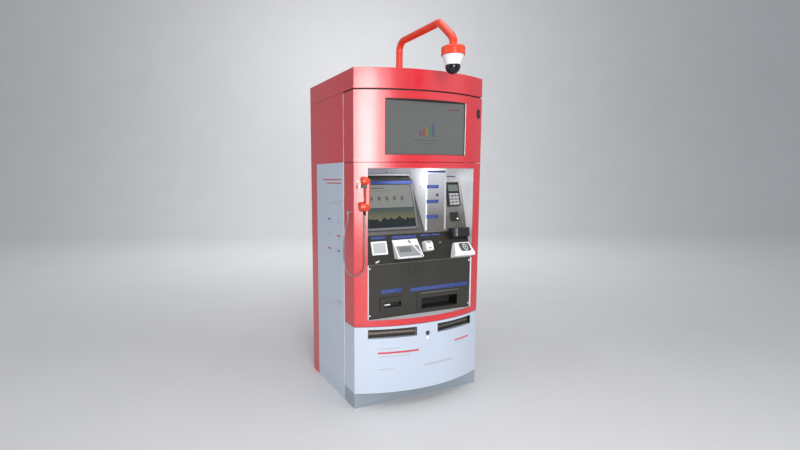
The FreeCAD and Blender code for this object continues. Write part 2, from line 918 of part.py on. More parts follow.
def make_signature_pad():
    """A tilted writing pad on two triangular cheeks, with a fork that keeps the stylus."""
    back_s = sign_front_s + sign_front_n / tangent(sign_rise)
    under_front = (sign_front_s - sign_thickness * sine(sign_rise),
                   sign_front_n - sign_thickness * cosine(sign_rise))
    under_back = under_front[0] + under_front[1] / tangent(sign_rise)
    profile = [(back_s, 0), (sign_front_s, sign_front_n), under_front, (under_back, 0)]
    plate = prism("writing_plate", (sign_left, sign_right), profile, shelf_frame)
    cheek = [under_front, (under_back, 0), (under_front[0] + 10, 0)]
    left = prism("cheek_left", (sign_left, sign_left + cheek_thickness), cheek, shelf_frame)
    right = prism("cheek_right", (sign_right - cheek_thickness, sign_right), cheek, shelf_frame)
    grip = stylus_length - 10
    place = (stylus_end[0] - grip * sine(stylus_turn), stylus_end[1] + grip * cosine(stylus_turn))
    fork_block = box("fork_block", (place[0] - 11, place[0] + 11), (place[1] - 5, place[1] + 5),
                     (0, 2 * stylus_radius), sign_frame)
    fork_groove = stylus_rod("fork_groove", stylus_radius + fit_gap, stylus_length + 20)
    fork_mouth = box("fork_mouth", (place[0] - stylus_radius - 3.2, place[0] + stylus_radius + 3.2),
                     (place[1] - 6, place[1] + 6), (stylus_radius, 3 * stylus_radius), sign_frame)
    fork = cut("fork", fork_block, fork_groove, fork_mouth)
    node("signature_pad", fuse("signature", plate, left, right, fork))


def stylus_rod(name, radius, length):
    """A rod along the stylus's own line on the pad."""
    solid = doc.addObject("Part::Cylinder", name)
    bind(solid, "Radius", radius)
    bind(solid, "Height", length)
    turn = f"rotation(vector(0; 0; 1); {stylus_turn.text}) * {TURNS['y']}"
    put(solid, stylus_end, sign_frame, turn)
    return solid


tether_diameter = driving("tether_diameter")
tether_inset = driving("tether_inset")
TETHER_LEAD = 14
TETHER_POINTS = [(-16, -421, 886), (-20, -415, 856), (-31, -405, 827), (-49, -397, 806), (-71, -393, 799),
                 (-92, -393, 809), (-107, -397, 832), (-112, -405, 856), (-112, -415, 879)]


def numbers(point):
    return [value.value for value in point]


def make_stylus():
    """The stylus lies on the pad, and its tether hangs from its tail to the pad's front edge."""
    node("stylus", stylus_rod("stylus_body", stylus_radius, stylus_length))
    below = (stylus_end[0] + TETHER_LEAD * sine(stylus_turn),
             stylus_end[1] - TETHER_LEAD * cosine(stylus_turn), stylus_end[2])
    edge = (sign_left + tether_inset, 0, -sign_thickness / 2)
    ahead = (edge[0], -TETHER_LEAD, edge[2])
    start = [numbers(sign_frame.point(*place)) for place in (stylus_end, below)]
    end = [numbers(sign_frame.point(*place)) for place in (ahead, edge)]
    cord("stylus_tether", start + TETHER_POINTS + end, tether_diameter.value)


chip_x = driving("chip_x")
chip_width = driving("chip_width")
chip_low = driving("chip_low")
chip_left = -liner_half + chip_x


def make_chip_reader():
    """A small cube reader with a slot in its front face."""
    high = chip_low + 62
    profile = [(chip_low, 0), (high, 0), (high, 30), (high - 18, 44), (chip_low + 2, 46)]
    cube = prism("chip_cube", (chip_left, chip_left + chip_width), profile, shelf_frame)
    slot = box("chip_slot", (chip_left + 6, chip_left + chip_width - 6), (chip_low - 5, chip_low + 25),
               (15, 18), shelf_frame)
    node("chip_reader", cut("chip", cube, slot))


scanner_inset = driving("scanner_inset")
scanner_width = driving("scanner_width")
scanner_length = driving("scanner_length")
scanner_low = driving("scanner_low")
scanner_rise = driving("scanner_rise")
scanner_right = liner_half - scanner_inset
scanner_left = scanner_right - scanner_width


def make_fingerprint_scanner():
    """A wedge that narrows towards the panel, with an oval platen set into its sloping top."""
    high = scanner_low + scanner_length
    profile = [(scanner_low, 0), (high, 0), (high - 2, 26), (scanner_low + 18, scanner_rise),
               (scanner_low + 3, scanner_rise - 6)]
    wedge = prism("wedge", (scanner_left, scanner_right), profile, shelf_frame)
    plan = [(scanner_left, scanner_low), (scanner_right, scanner_low), (scanner_right - 14, high),
            (scanner_left + 34, high)]
    taper = sheet_body("wedge_taper", "XY_Plane", -1, scanner_rise + 5, [plan], frame=shelf_frame)
    node("fingerprint_scanner", common("scanner", wedge, taper))


reader_inset = driving("reader_inset")
reader_width = driving("reader_width")
reader_low = driving("reader_low")
reader_slit = driving("reader_slit")
reader_right = liner_half - reader_inset
reader_left = reader_right - reader_width


def make_document_reader():
    """A black reader with a swipe slit, set into the corner of the shelf and the device panel."""
    low = shelf_frame.point(0, reader_low, fit_gap)
    out = shelf_frame.point(0, reader_low + 8, 38)
    corner_low = shelf_frame.point(0, shelf_length, fit_gap)
    corner = device_frame.point(0, 0, fit_gap)
    top = device_frame.point(0, 18, fit_gap)
    front = device_frame.point(0, 12, 50)
    profile = [(point[1], point[2]) for point in (low, out, front, top, corner, corner_low)]
    block = prism("reader_block", (reader_left, reader_right), profile)
    slit_x = reader_left + 25
    slit = box("reader_slit", (slit_x, slit_x + reader_slit), (low[1] - 60, low[1] - 10),
               (low[2] - 10, top[2] + 20))
    node("document_reader", cut("reader", block, slit))


pin_inset = driving("pin_inset")
pin_width = driving("pin_width")
pin_low = driving("pin_low")
pin_length = driving("pin_length")
pin_depth = driving("pin_depth")
well_depth = driving("well_depth")
key_pitch_x = driving("key_pitch_x")
key_pitch_y = driving("key_pitch_y")
key_width = driving("key_width")
key_length = driving("key_length")
key_rise = driving("key_rise")
key_stem_radius = driving("key_stem_radius")
key_travel = driving("key_travel")
pin_right = liner_half - pin_inset
pin_left = pin_right - pin_width
pin_middle = (pin_left + pin_right) / 2
key_floor = pin_depth - well_depth
key_bottom = key_floor + key_travel + 0.7
KEY_ROWS = (("cancel", "0", "enter"), ("7", "8", "9"), ("4", "5", "6"), ("1", "2", "3"))
key_first_row = driving("key_first_row")


def key_places():
    """Each key's name and its centre on the device panel."""
    for row, names in enumerate(KEY_ROWS):
        for column, name in enumerate(names):
            yield name, pin_middle + key_pitch_x * (column - 1), pin_low + key_first_row + key_pitch_y * row


def make_pin_pad():
    """A payment terminal: a case with a display recess and a well, and keys that press into it."""
    case = box("pin_case", (pin_left, pin_right), (pin_low, pin_low + pin_length), (0, pin_depth),
               device_frame)
    well_half = key_pitch_x + key_width / 2 + 1
    well_y = (pin_low + key_first_row - key_length / 2 - 1,
              pin_low + key_first_row + 3 * key_pitch_y + key_length / 2 + 1)
    well = box("pin_well", (pin_middle - well_half, pin_middle + well_half), well_y,
               (key_floor, pin_depth + 5), device_frame)
    screen = box("pin_screen", (pin_left + 8, pin_right - 8), (well_y[1] + 12, pin_low + pin_length - 16),
                 (pin_depth - 1, pin_depth + 5), device_frame)
    holes = [rod(f"key_hole_{name}", key_stem_radius + running_clearance, key_floor, (across, along, 6),
                 "z", device_frame) for name, across, along in key_places()]
    node("pin_pad", cut("pin", case, well, screen, *holes))
    for name, across, along in key_places():
        cap = box(f"key_cap_{name}", (across - key_width / 2, across + key_width / 2),
                  (along - key_length / 2, along + key_length / 2), (key_bottom, key_bottom + key_rise),
                  device_frame)
        stem = rod(f"key_stem_{name}", key_stem_radius, key_bottom - 8, (across, along, 8), "z",
                   device_frame)
        node(f"key_{name}", fuse(f"key_solid_{name}", cap, stem))


window_inset = driving("window_inset")
window_width = driving("window_width")
window_low = driving("window_low")
window_length = driving("window_length")


def make_barcode_scanner():
    right = liner_half - window_inset
    xs = (right - window_width, right)
    ys = (window_low, window_low + window_length)
    case = box("scan_case", xs, ys, (0, 6), device_frame)
    recess = box("scan_recess", (xs[0] + 5, xs[1] - 5), (ys[0] + 5, ys[1] - 5), (4.5, 10), device_frame)
    node("barcode_scanner", cut("scan", case, recess))


def make_card_slot():
    """The card reader's bezel stands on the lower panel, with its body behind."""
    flange = box("card_bezel", (card_left, card_right), (console_front - 4, console_front),
                 (card_slot_z, card_slot_z + card_slot_height))
    inner_x = (card_left + 4 + fit_gap, card_right - 4 - fit_gap)
    inner_z = (card_slot_z + 4 + fit_gap, card_slot_z + card_slot_height - 4 - fit_gap)
    body = box("card_body", inner_x, (console_front, console_front + 80), inner_z)
    mouth = box("card_mouth", (card_left + 27, card_right - 8), (console_front - 5, console_front + 16),
                (card_slot_z + 17, card_slot_z + 47))
    throat = box("card_throat", (card_left + 58, card_left + 114), (console_front, console_front + 75),
                 (card_slot_z + 30, card_slot_z + 33))
    node("card_slot", cut("card_reader", fuse("card_whole", flange, body), mouth, throat))


shutter_thickness = driving("shutter_thickness")


def make_cash_tray():
    """An open tray behind the panel with a frame around its mouth, and a shutter that drops across it."""
    wall = liner_thickness
    low_x, high_x = tray_left + fit_gap, tray_right - fit_gap
    low_z, high_z = tray_bottom + fit_gap, tray_bottom + tray_height - fit_gap
    flange = box("tray_flange", (tray_left - 2 * tray_frame, tray_right + tray_frame),
                 (console_front - 3, console_front), (tray_bottom - 3, tray_bottom + tray_height + 34))
    case = box("tray_case", (low_x, high_x), (console_front, console_front + tray_depth), (low_z, high_z))
    hollow = box("tray_hollow", (low_x + wall, high_x - wall),
                 (console_front - 4, console_front + tray_depth - wall), (low_z + wall, high_z - wall))
    shutter_y = (console_front + 6, console_front + 6 + shutter_thickness)
    slot = box("tray_slot", (low_x + wall, high_x - wall), (shutter_y[0] - fit_gap, shutter_y[1] + fit_gap),
               (high_z - wall - 1, high_z + 1))
    node("cash_tray", cut("tray", fuse("tray_whole", flange, case), hollow, slot))
    blade = box("shutter_blade", (low_x + wall + fit_gap, high_x - wall - fit_gap), shutter_y,
                (high_z - wall + 0.5, high_z - wall + 0.5 + tray_height - 4))
    node("cash_shutter", blade)


# ---------------------------------------------------------------- camera

arm_radius = driving("arm_radius")
arm_wall = driving("arm_wall")
arm_bend = driving("arm_bend")
arm_foot_y = driving("arm_foot_y")
arm_rise = driving("arm_rise")
arm_front_y = driving("arm_front_y")
arm_drop = driving("arm_drop")
arm_tail = driving("arm_tail")
arm_foot_radius = driving("arm_foot_radius")
arm_foot_height = driving("arm_foot_height")
camera_y = driving("camera_y")
collar_height = driving("collar_height")
collar_radius = driving("collar_radius")
housing_radius = driving("housing_radius")
dome_radius = driving("dome_radius")
housing_height = driving("housing_height")
dome_rise = driving("dome_rise")
eye_drop = driving("eye_drop")
shaft_radius = driving("shaft_radius")
arm_height = cap_top + arm_rise
arm_drop_z = arm_height - arm_drop
collar_top = arm_drop_z - arm_tail
collar_bottom = collar_top - collar_height
dome_seat = collar_bottom - housing_height
dome_centre = dome_seat - dome_rise
eye_centre = dome_centre - eye_drop


def make_camera_arm():
    """A bent steel tube on a round foot, with the camera hung from its drooping end."""
    start = Vector(0, arm_foot_y.value, cap_top.value)
    points = [start, Vector(0, arm_foot_y.value, arm_height.value),
              Vector(0, arm_front_y.value, arm_height.value),
              Vector(0, camera_y.value, arm_drop_z.value), Vector(0, camera_y.value, collar_top.value)]
    wire = route_wire(points, [arm_bend.value] * 3)
    outer = swept(wire, arm_radius.value)
    inner = swept(wire, arm_radius.value - arm_wall.value)
    foot = Part.makeCylinder(arm_foot_radius.value, arm_foot_height.value, start)
    arm = doc.addObject("Part::Feature", "arm")
    arm.Shape = outer.fuse(foot).cut(inner).removeSplitter()
    node("camera_arm", arm)


def make_camera():
    """The camera hangs below the arm: a collar, a tapered housing, a clear dome, and the eye in its yoke."""
    place = (0, camera_y, 0)
    top, low = collar_top, collar_bottom
    wall = 3
    collar = [(0, top), (collar_radius - 9, top), (collar_radius - 3, top - 3), (collar_radius, top - 9),
              (collar_radius, low), (housing_radius, low), (housing_radius, low + 3),
              (collar_radius - wall, low + 3), (collar_radius - wall, top - 12), (0, top - 12)]
    node("camera_collar", turned("collar", collar, place))
    narrow = dome_radius + 0.5
    housing = [(shaft_radius + running_clearance, low), (housing_radius - 0.3, low), (narrow, dome_seat),
               (narrow - wall, dome_seat), (housing_radius - 2 * wall, low - wall),
               (shaft_radius + running_clearance, low - wall)]
    node("camera_housing", turned("housing", housing, place))
    lower_half = box("dome_half", (-dome_radius - 1, dome_radius + 1),
                     (camera_y - dome_radius - 1, camera_y + dome_radius + 1),
                     (dome_centre - dome_radius - 1, dome_seat - fit_gap))
    shell = cut("dome_shell", ball("dome_outer", dome_radius, (0, camera_y, dome_centre)),
                ball("dome_inner", dome_radius - 2, (0, camera_y, dome_centre)))
    node("camera_dome", common("dome", shell, lower_half))
    plate_z = eye_centre + 22
    plate = rod("yoke_plate", 28, 3, (0, camera_y, plate_z))
    shaft = rod("yoke_shaft", shaft_radius, low - plate_z - 0.5, (0, camera_y, plate_z))
    arms = [box(f"yoke_arm_{side}", (side * 23.5 - 1.5, side * 23.5 + 1.5), (camera_y - 8, camera_y + 8),
                (eye_centre - 6, plate_z + 1)) for side in (-1, 1)]
    bore = rod("yoke_bore", 2 + running_clearance, 60, (-30, camera_y, eye_centre), "x")
    node("camera_yoke", cut("yoke", fuse("yoke_whole", plate, shaft, *arms), bore))
    barrel = rod("eye_barrel", 14, 42, (0, camera_y - 26, eye_centre), "y")
    lens_hood = rod("eye_hood", 11, 3, (0, camera_y - 27, eye_centre), "y")
    pins = rod("eye_pins", 2, 49.6, (-24.8, camera_y, eye_centre), "x")
    node("camera_eye", cut("eye", fuse("eye_whole", barrel, pins), lens_hood))


# ---------------------------------------------------------------- doors

def door_shell(name, zs):
    """A folded door: bowed skin, side returns, and flanges along its top and bottom."""
    outer = bowed(name + "_outer", 0, door_back, zs)
    hollow_z = (zs[0] + sheet_thickness, zs[1] - sheet_thickness)
    hollow = bowed(name + "_hollow", sheet_thickness, door_back + 1, hollow_z)
    mouth = bowed(name + "_mouth", edge_flange, door_back + 1, (zs[0] - 1, zs[1] + 1))
    return cut(name + "_shell", outer, hollow, mouth)


def hung(name, door, shell, holes):
    """Add the door's hinge knuckles to its shell, and cut the pin bore and the given holes."""
    low, high = DOORS_Z[door]
    parts = [shell]
    for number, (start, end) in enumerate(knuckle_spans(low, high)):
        if number % 2:
            place = (hinge_x, hinge_y, start)
            parts.append(rod(f"{name}_barrel_{number}", barrel_radius, end - start, place))
            tab_x = (-half_width, -half_width + barrel_radius)
            parts.append(box(f"{name}_tab_{number}", tab_x, (door_back - 6, hinge_y), (start, end)))
    bore = rod(f"{name}_bore", pin_radius + running_clearance, as_size(high) - low, (hinge_x, hinge_y, low))
    return cut(name + "_hung", fuse(name + "_whole", *parts), bore, *holes)


sign_half = driving("sign_half")
sign_bottom = driving("sign_bottom")
sign_top = driving("sign_top")
sign_rim = driving("sign_rim")
sign_depth = driving("sign_depth")
lock_radius = driving("lock_radius")
cam_length = driving("cam_length")
cam_half_width = driving("cam_half_width")
cam_thickness = driving("cam_thickness")
module_half = sign_half + sign_rim
module_front = bow_y(module_half, sheet_thickness) + 3.6
upper_lock_x = half_width - upper_lock_inset


def facing(across, height):
    """A frame on the bowed front, turned so that its -Y looks straight out of the surface."""
    ratio = as_size(across) / bow_radius
    angle = Size(math.degrees(math.asin(ratio.value)), f"asin({ratio.text})")
    return Frame((across, bow_y(across), height), "z", angle)


upper_lock_frame = facing(upper_lock_x, upper_lock_z)


def make_lock(label, frame, depth, cam):
    """A cam lock: a plug through the door's skin, a rim outside it, and a cam behind."""
    plug = rod(label + "_plug", lock_radius, depth + 3, (0, -3, 0), "y", frame)
    rim = rod(label + "_rim", lock_radius + 4, 3, (0, -3.4, 0), "y", frame)
    xs, zs = cam
    blade = box(label + "_cam", xs, (depth, depth + cam_thickness), zs, frame)
    node(label, fuse(label + "_solid", plug, rim, blade))


def lock_hole(name, frame):
    return rod(name, lock_radius + running_clearance, 20, (0, -10, 0), "y", frame)


def make_upper_door():
    """The upper door frames a wide display, which hangs between two rails behind its window."""
    zs = upper_door_z
    inner_z = (zs[0] + sheet_thickness / 2, zs[1] - sheet_thickness / 2)
    rail_y = (bow_y(module_half + 22, sheet_thickness) + 1.5, module_front + sign_depth)
    middle = module_half + 11.3
    rails = [box(f"sign_rail_{side}", (side * middle - 11, side * middle + 11), rail_y, inner_z)
             for side in (-1, 1)]
    shell = fuse("upper_framed", door_shell("upper", zs), *rails)
    window = box("upper_window", (-sign_half, sign_half), (front_corner - bow_rise - 5, module_front - 1),
                 (sign_bottom, sign_top))
    holes = [window, lock_hole("upper_hole", upper_lock_frame)]
    node("upper_door", hung("upper_door", "upper", shell, holes))
    module = box("sign_module", (-module_half, module_half), (module_front, module_front + sign_depth),
                 (sign_bottom - 20, sign_top + 20))
    node("sign_display", module)
    cam = ((-cam_half_width, cam_half_width), (-cam_length, cam_half_width + 2))
    make_lock("upper_lock", upper_lock_frame, lock_depth, cam)


anchor_y = driving("anchor_y")
anchor_z = driving("anchor_z")
handset_inset = driving("handset_inset")
cradle_across = driving("cradle_across")
handset_out = driving("handset_out")
handset_back = driving("handset_back")
handle_thickness = driving("handle_thickness")
cup_back = driving("cup_back")
ear_face = driving("ear_face")
mouth_face = driving("mouth_face")
relief_y = driving("relief_y")
cradle_depth = driving("cradle_depth")
hook_drop = driving("hook_drop")
cup_radius = driving("cup_radius")
ear_z = driving("ear_z")
mouth_z = driving("mouth_z")
handle_half = driving("handle_half")
foot_z = driving("foot_z")
prong_reach = driving("prong_reach")
hook_pivot_y = driving("hook_pivot_y")
hook_z = ear_z - cup_radius
lever_z = hook_z - hook_drop
stile_frame = facing(-half_width + handset_inset, 0)
# The handset hangs sideways: its frame's -Y looks right along the stile, and its +X into the door.
QUARTER_TURN = Size(90, "(90 deg)")
hand_frame = Frame(stile_frame.point(cradle_across, -handset_out, 0), "z", stile_frame.angle + QUARTER_TURN)


def make_middle_door():
    zs = middle_door_z
    opening = box("middle_opening", (-half_width + stile_width, half_width - stile_width),
                  (front_corner - bow_rise - 5, front_corner + 5), (opening_bottom, opening_top))
    node("middle_door", hung("middle_door", "middle", door_shell("middle", zs), [opening]))


def make_cradle():
    """A bracket that stands out from the stile, and the forked hook lever that turns on a pin in it."""
    foot_x = (handset_out - 4.2, handset_out - 0.2)
    foot = box("cradle_foot", foot_x, (-cradle_depth - 4, 7), (lever_z - 6, hook_z + 33), hand_frame)
    block = box("cradle_block", (-14, handset_out - 4.2), (-cradle_depth, 3), (lever_z - 8, hook_z + 16),
                hand_frame)
    slot = box("cradle_slot", (-6.4, 6.4), (-cradle_depth - 1, hook_pivot_y + 6), (lever_z - 9, hook_z + 17),
               hand_frame)
    bore = rod("cradle_bore", 2 + running_clearance, 24, (-12, hook_pivot_y, lever_z), "x", hand_frame)
    node("handset_cradle", cut("cradle", fuse("cradle_whole", foot, block), slot, bore))
    zs = (lever_z - 5, lever_z + 5)
    yoke_y = (-cradle_depth - 5.5, -cradle_depth - 1.5)
    tongue = box("hook_tongue", (-6, 6), (yoke_y[0] + 1, hook_pivot_y + 4.5), zs, hand_frame)
    pin = rod("hook_pin", 2, 23.4, (-11.7, hook_pivot_y, lever_z), "x", hand_frame)
    yoke = box("hook_yoke", (-22, 22), yoke_y, zs, hand_frame)
    prongs = [box(f"hook_prong_{side}", (side * 19.3 - 2.7, side * 19.3 + 2.7),
                  (-prong_reach, yoke_y[1] - 1), (zs[0], hook_z + 5.6), hand_frame) for side in (-1, 1)]
    node("hook_lever", fuse("hook", tongue, pin, yoke, *prongs))


CORD_POINTS = [(-407, -405.5, 1050), (-405.5, -404.5, 980), (-405, -403, 915), (-407, -401, 873),
               (-418.5, -397, 843), (-443.5, -388, 826), (-473, -376, 826), (-496, -363, 843),
               (-509, -355, 873), (-513, -350, 925), (-511, -338, 985), (-501, -326, 1045),
               (-483, -312, 1095)]
cord_diameter = driving("cord_diameter")
anchor_reach = driving("anchor_reach")


def make_handset():
    """A telephone handset: two cups joined by a handle, with a tapered relief for its armoured cord."""
    cups = [rod(f"cup_{name}", cup_radius, cup_back - face, (0, -cup_back, height), "y", hand_frame)
            for name, height, face in (("ear", ear_z, ear_face), ("mouth", mouth_z, mouth_face))]
    handle = box("handle", (-handle_half, handle_half), (-handset_back, handle_thickness - handset_back),
                 (mouth_z - 14, ear_z + 14), hand_frame)
    relief = cone("relief", 5.5, 9, mouth_z - 14 - foot_z, (0, -relief_y, foot_z), "z", hand_frame)
    node("handset", fuse("handset_solid", *cups, handle, relief))
    outside = -half_width
    flange = rod("anchor_flange", 13, 3, (outside - 3, anchor_y, anchor_z), "x")
    stub = rod("anchor_stub", 7, anchor_reach, (outside - anchor_reach, anchor_y, anchor_z), "x")
    knob = ball("anchor_knob", 8, (outside - anchor_reach, anchor_y, anchor_z))
    gland = rod("anchor_gland", 6, 15, (outside - anchor_reach, anchor_y, anchor_z - 15))
    node("cord_anchor", fuse("anchor", flange, stub, knob, gland))
    x, y, z = numbers(hand_frame.point(0, -relief_y, foot_z))
    end_x, end_y, end_z = numbers((outside - anchor_reach, anchor_y, anchor_z - 15))
    points = [(x, y, z), (x, y, z - 55)] + CORD_POINTS + [(end_x, end_y, end_z - 38), (end_x, end_y, end_z)]
    cord("handset_cord", points, cord_diameter.value)


outlet_near = driving("outlet_near")
outlet_inset = driving("outlet_inset")
outlet_far = half_width - outlet_inset
outlet_bottom = driving("outlet_bottom")
outlet_top = driving("outlet_top")
chute_depth = driving("chute_depth")
chute_wall = driving("chute_wall")
flap_pivot_y = driving("flap_pivot_y")
flap_pivot_drop = driving("flap_pivot_drop")
lower_lock_z = driving("lower_lock_z")
lower_lock_depth = driving("lower_lock_depth")
lower_lock_frame = facing(0, lower_lock_z)
outlet_slope = (bow_y(outlet_far) - bow_y(outlet_near)) / (outlet_far - outlet_near)
outlet_angle = Size(math.degrees(math.atan(outlet_slope.value)), f"atan({outlet_slope.text})")
outlet_middle = (outlet_near + outlet_far) / 2
outlet_y = (bow_y(outlet_near) + bow_y(outlet_far)) / 2
chute_half = (outlet_far - outlet_near) / 2 - fit_gap
SIDES = {"left": -1, "right": 1}


def outlet_frame(side):
    """A frame on the chord of an outlet slot, in the plane of its pair of end points."""
    sign = SIDES[side]
    angle = Size(sign * outlet_angle.value, f"({sign} * {outlet_angle.text})")
    return Frame((sign * outlet_middle, outlet_y, 0), "z", angle)


def make_outlet(side):
    """The chute behind an outlet slot, and the flap that hangs across it on two pins."""
    frame = outlet_frame(side)
    wide = chute_half + chute_wall
    outer = box(f"chute_outer_{side}", (-wide, wide), (-20, chute_depth),
                (outlet_bottom - chute_wall, outlet_top + chute_wall), frame)
    inner = box(f"chute_inner_{side}", (-chute_half, chute_half), (-21, chute_depth + 1),
                (outlet_bottom, outlet_top), frame)
    tube = cut(f"chute_tube_{side}", outer, inner)
    trim = bowed(f"chute_trim_{side}", sheet_thickness / 2, rear, (outlet_bottom - 10, outlet_top + 10))
    chute = common(f"chute_{side}", tube, trim)
    pivot_z = outlet_top - flap_pivot_drop
    bore = rod(f"flap_bore_{side}", 2 + running_clearance, 2 * chute_half + 2 * chute_wall + 2,
               (-chute_half - chute_wall - 1, flap_pivot_y, pivot_z), "x", frame)
    blade_half = chute_half - 3
    blade = box(f"flap_blade_{side}", (-blade_half, blade_half), (flap_pivot_y - 1, flap_pivot_y + 1),
                (outlet_bottom + 3, pivot_z), frame)
    pin_half = chute_half + chute_wall - 0.2
    pin = rod(f"flap_pin_{side}", 2, 2 * pin_half, (-pin_half, flap_pivot_y, pivot_z), "x", frame)
    node(f"outlet_flap_{side}", fuse(f"flap_{side}", blade, pin))
    return chute, bore


def make_lower_door():
    chutes = []
    holes = [lock_hole("lower_hole", lower_lock_frame)]
    for side, sign in SIDES.items():
        chute, bore = make_outlet(side)
        xs = (outlet_near, outlet_far) if sign > 0 else (-outlet_far, -outlet_near)
        slot = box(f"outlet_slot_{side}", xs, (front_corner - bow_rise - 5, front_corner - 5),
                   (outlet_bottom, outlet_top))
        chutes.append(chute)
        holes.extend([bore, slot])
    shell = fuse("lower_framed", door_shell("lower", lower_door_z), *chutes)
    node("lower_door", hung("lower_door", "lower", shell, holes))
    cam = ((-cam_half_width - 2, cam_length), (-cam_half_width, cam_half_width))
    make_lock("lower_lock", lower_lock_frame, lower_lock_depth, cam)


# ---------------------------------------------------------------- inside

computer_width = driving("computer_width")
computer_depth = driving("computer_depth")
computer_height = driving("computer_height")
computer_bottom = driving("computer_bottom")
printer_inset = driving("printer_inset")
printer_front = driving("printer_front")
printer_depth = driving("printer_depth")


def make_inside():
    """The computer hangs on the rear panel, and two printers stand on the plinth behind the outlets."""
    back = rear - sheet_thickness
    case = box("computer_case", (-computer_width / 2, computer_width / 2), (back - computer_depth, back),
               (computer_bottom, computer_bottom + computer_height))
    hollow = box("computer_hollow", (-computer_width / 2 + 2, computer_width / 2 - 2),
                 (back - computer_depth + 2, back - 2),
                 (computer_bottom + 2, computer_bottom + computer_height - 2))
    node("computer", cut("computer_shell", case, hollow))
    printers = [make_printer(side, sign) for side, sign in SIDES.items()]
    pair = doc.addObject("Part::Compound", "printers")
    pair.Links = printers
    node("document_printers", pair)


def make_printer(side, sign):
    """One hollow printer, its nose raised to the height of the outlet."""
    near, far = outlet_near + printer_inset, outlet_far - printer_inset
    xs = (near, far) if sign > 0 else (-far, -near)
    nose_bottom = outlet_bottom - 12
    back = printer_front + printer_depth
    body = box(f"printer_{side}", xs, (printer_front, back), (plinth_height, nose_bottom))
    nose = box(f"printer_nose_{side}", xs, (printer_front - 20, printer_front + 120),
               (nose_bottom, outlet_top - 8))
    wall = sheet_thickness
    hollow = box(f"printer_hollow_{side}", (xs[0] + wall, xs[1] - wall), (printer_front + wall, back - wall),
                 (plinth_height + wall, nose_bottom - wall))
    throat = box(f"printer_throat_{side}", (xs[0] + wall, xs[1] - wall),
                 (printer_front - 20 + wall, printer_front + 120 - wall),
                 (nose_bottom + wall, outlet_top - 8 - wall))
    return cut(f"printer_case_{side}", fuse(f"printer_whole_{side}", body, nose), hollow, throat)


# ---------------------------------------------------------------- build, check and write

def build():
    make_plinth()
    make_side_panels()
    make_rear_panel()
    make_left_post()
    make_right_post()
    make_top()
    make_alcove_liner()
    make_console_panels()
    make_service_column()
    make_touch_display()
    make_card_pad()
    make_signature_pad()
    make_stylus()
    make_chip_reader()
    make_fingerprint_scanner()
    make_document_reader()
    make_pin_pad()
    make_barcode_scanner()
    make_card_slot()
    make_cash_tray()
    make_camera_arm()
    make_camera()
    make_upper_door()
    make_middle_door()
    make_cradle()
    make_handset()
    make_lower_door()
    make_inside()


def check():
    """Stop if any feature failed or any sub-part is empty or invalid."""
    faults = [item.Label for item in doc.Objects if {"Invalid", "Error"} & set(item.State)]
    for item in nodes:
        if item.Shape.isNull() or not item.Shape.isValid() or item.Shape.Volume <= 0:
            faults.append(item.Label)
    if faults:
        raise RuntimeError("these did not build: " + ", ".join(faults))


def write():
    os.makedirs("parts", exist_ok=True)
    for item in nodes:
        item.Shape.exportStep(f"parts/{item.Label}.step")
    print(len(nodes), "sub-parts written")


build()
doc.recompute()
check()
write()
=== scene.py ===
# %% [markdown]
# # A self-service teller kiosk
# The kiosk is a tall red cabinet with a bowed front. Three doors close it, a steel console is set
# back in the middle one, a telephone handset hangs at its left, and a dome camera looks down on
# the user from a bent arm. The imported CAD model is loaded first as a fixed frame. Everything
# below is placed from its sizes, so a new piece sits exactly where the solid one is.

# %% Load the frame
import bpy
import json
import math
from mathutils import Matrix, Vector

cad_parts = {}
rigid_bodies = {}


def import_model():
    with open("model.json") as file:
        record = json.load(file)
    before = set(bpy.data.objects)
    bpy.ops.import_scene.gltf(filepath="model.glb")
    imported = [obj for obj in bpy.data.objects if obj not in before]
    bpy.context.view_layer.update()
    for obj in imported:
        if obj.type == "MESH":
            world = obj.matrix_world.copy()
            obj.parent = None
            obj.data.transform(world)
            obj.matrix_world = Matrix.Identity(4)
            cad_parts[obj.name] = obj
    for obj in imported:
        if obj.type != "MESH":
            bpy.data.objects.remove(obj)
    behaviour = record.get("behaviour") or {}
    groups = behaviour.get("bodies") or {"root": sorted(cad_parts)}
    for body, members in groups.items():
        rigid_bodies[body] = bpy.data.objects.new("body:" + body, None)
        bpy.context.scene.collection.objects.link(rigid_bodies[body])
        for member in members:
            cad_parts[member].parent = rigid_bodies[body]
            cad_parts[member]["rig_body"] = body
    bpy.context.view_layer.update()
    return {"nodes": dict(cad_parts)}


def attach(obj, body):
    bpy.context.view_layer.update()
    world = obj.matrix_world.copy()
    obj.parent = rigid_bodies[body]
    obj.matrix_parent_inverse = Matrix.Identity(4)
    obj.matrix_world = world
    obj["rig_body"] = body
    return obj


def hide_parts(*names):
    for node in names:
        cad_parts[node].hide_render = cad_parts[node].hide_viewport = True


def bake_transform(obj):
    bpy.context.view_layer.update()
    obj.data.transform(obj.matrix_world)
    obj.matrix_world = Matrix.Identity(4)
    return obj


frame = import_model()
nodes = frame["nodes"]
MM = 0.001

# %% [markdown]
# ## Camera
# The kiosk is seen from its left at chest height with a wide lens. A camera has three
# directions of its own: right, up and backwards. They are worked out from a turn about the
# vertical, a tilt down and a very small roll, and become the columns of its rotation. A lens
# shift frames the kiosk without tilting its upright lines. Colours are shown by the plain
# Standard view, which keeps the paint's red as strong as it is.

# %% Set up the camera
CAMERA_PLACE = (-1.6195, -2.8523, 1.3907)
TURN, TILT, ROLL = 0.42004, 0.12297, -0.00639


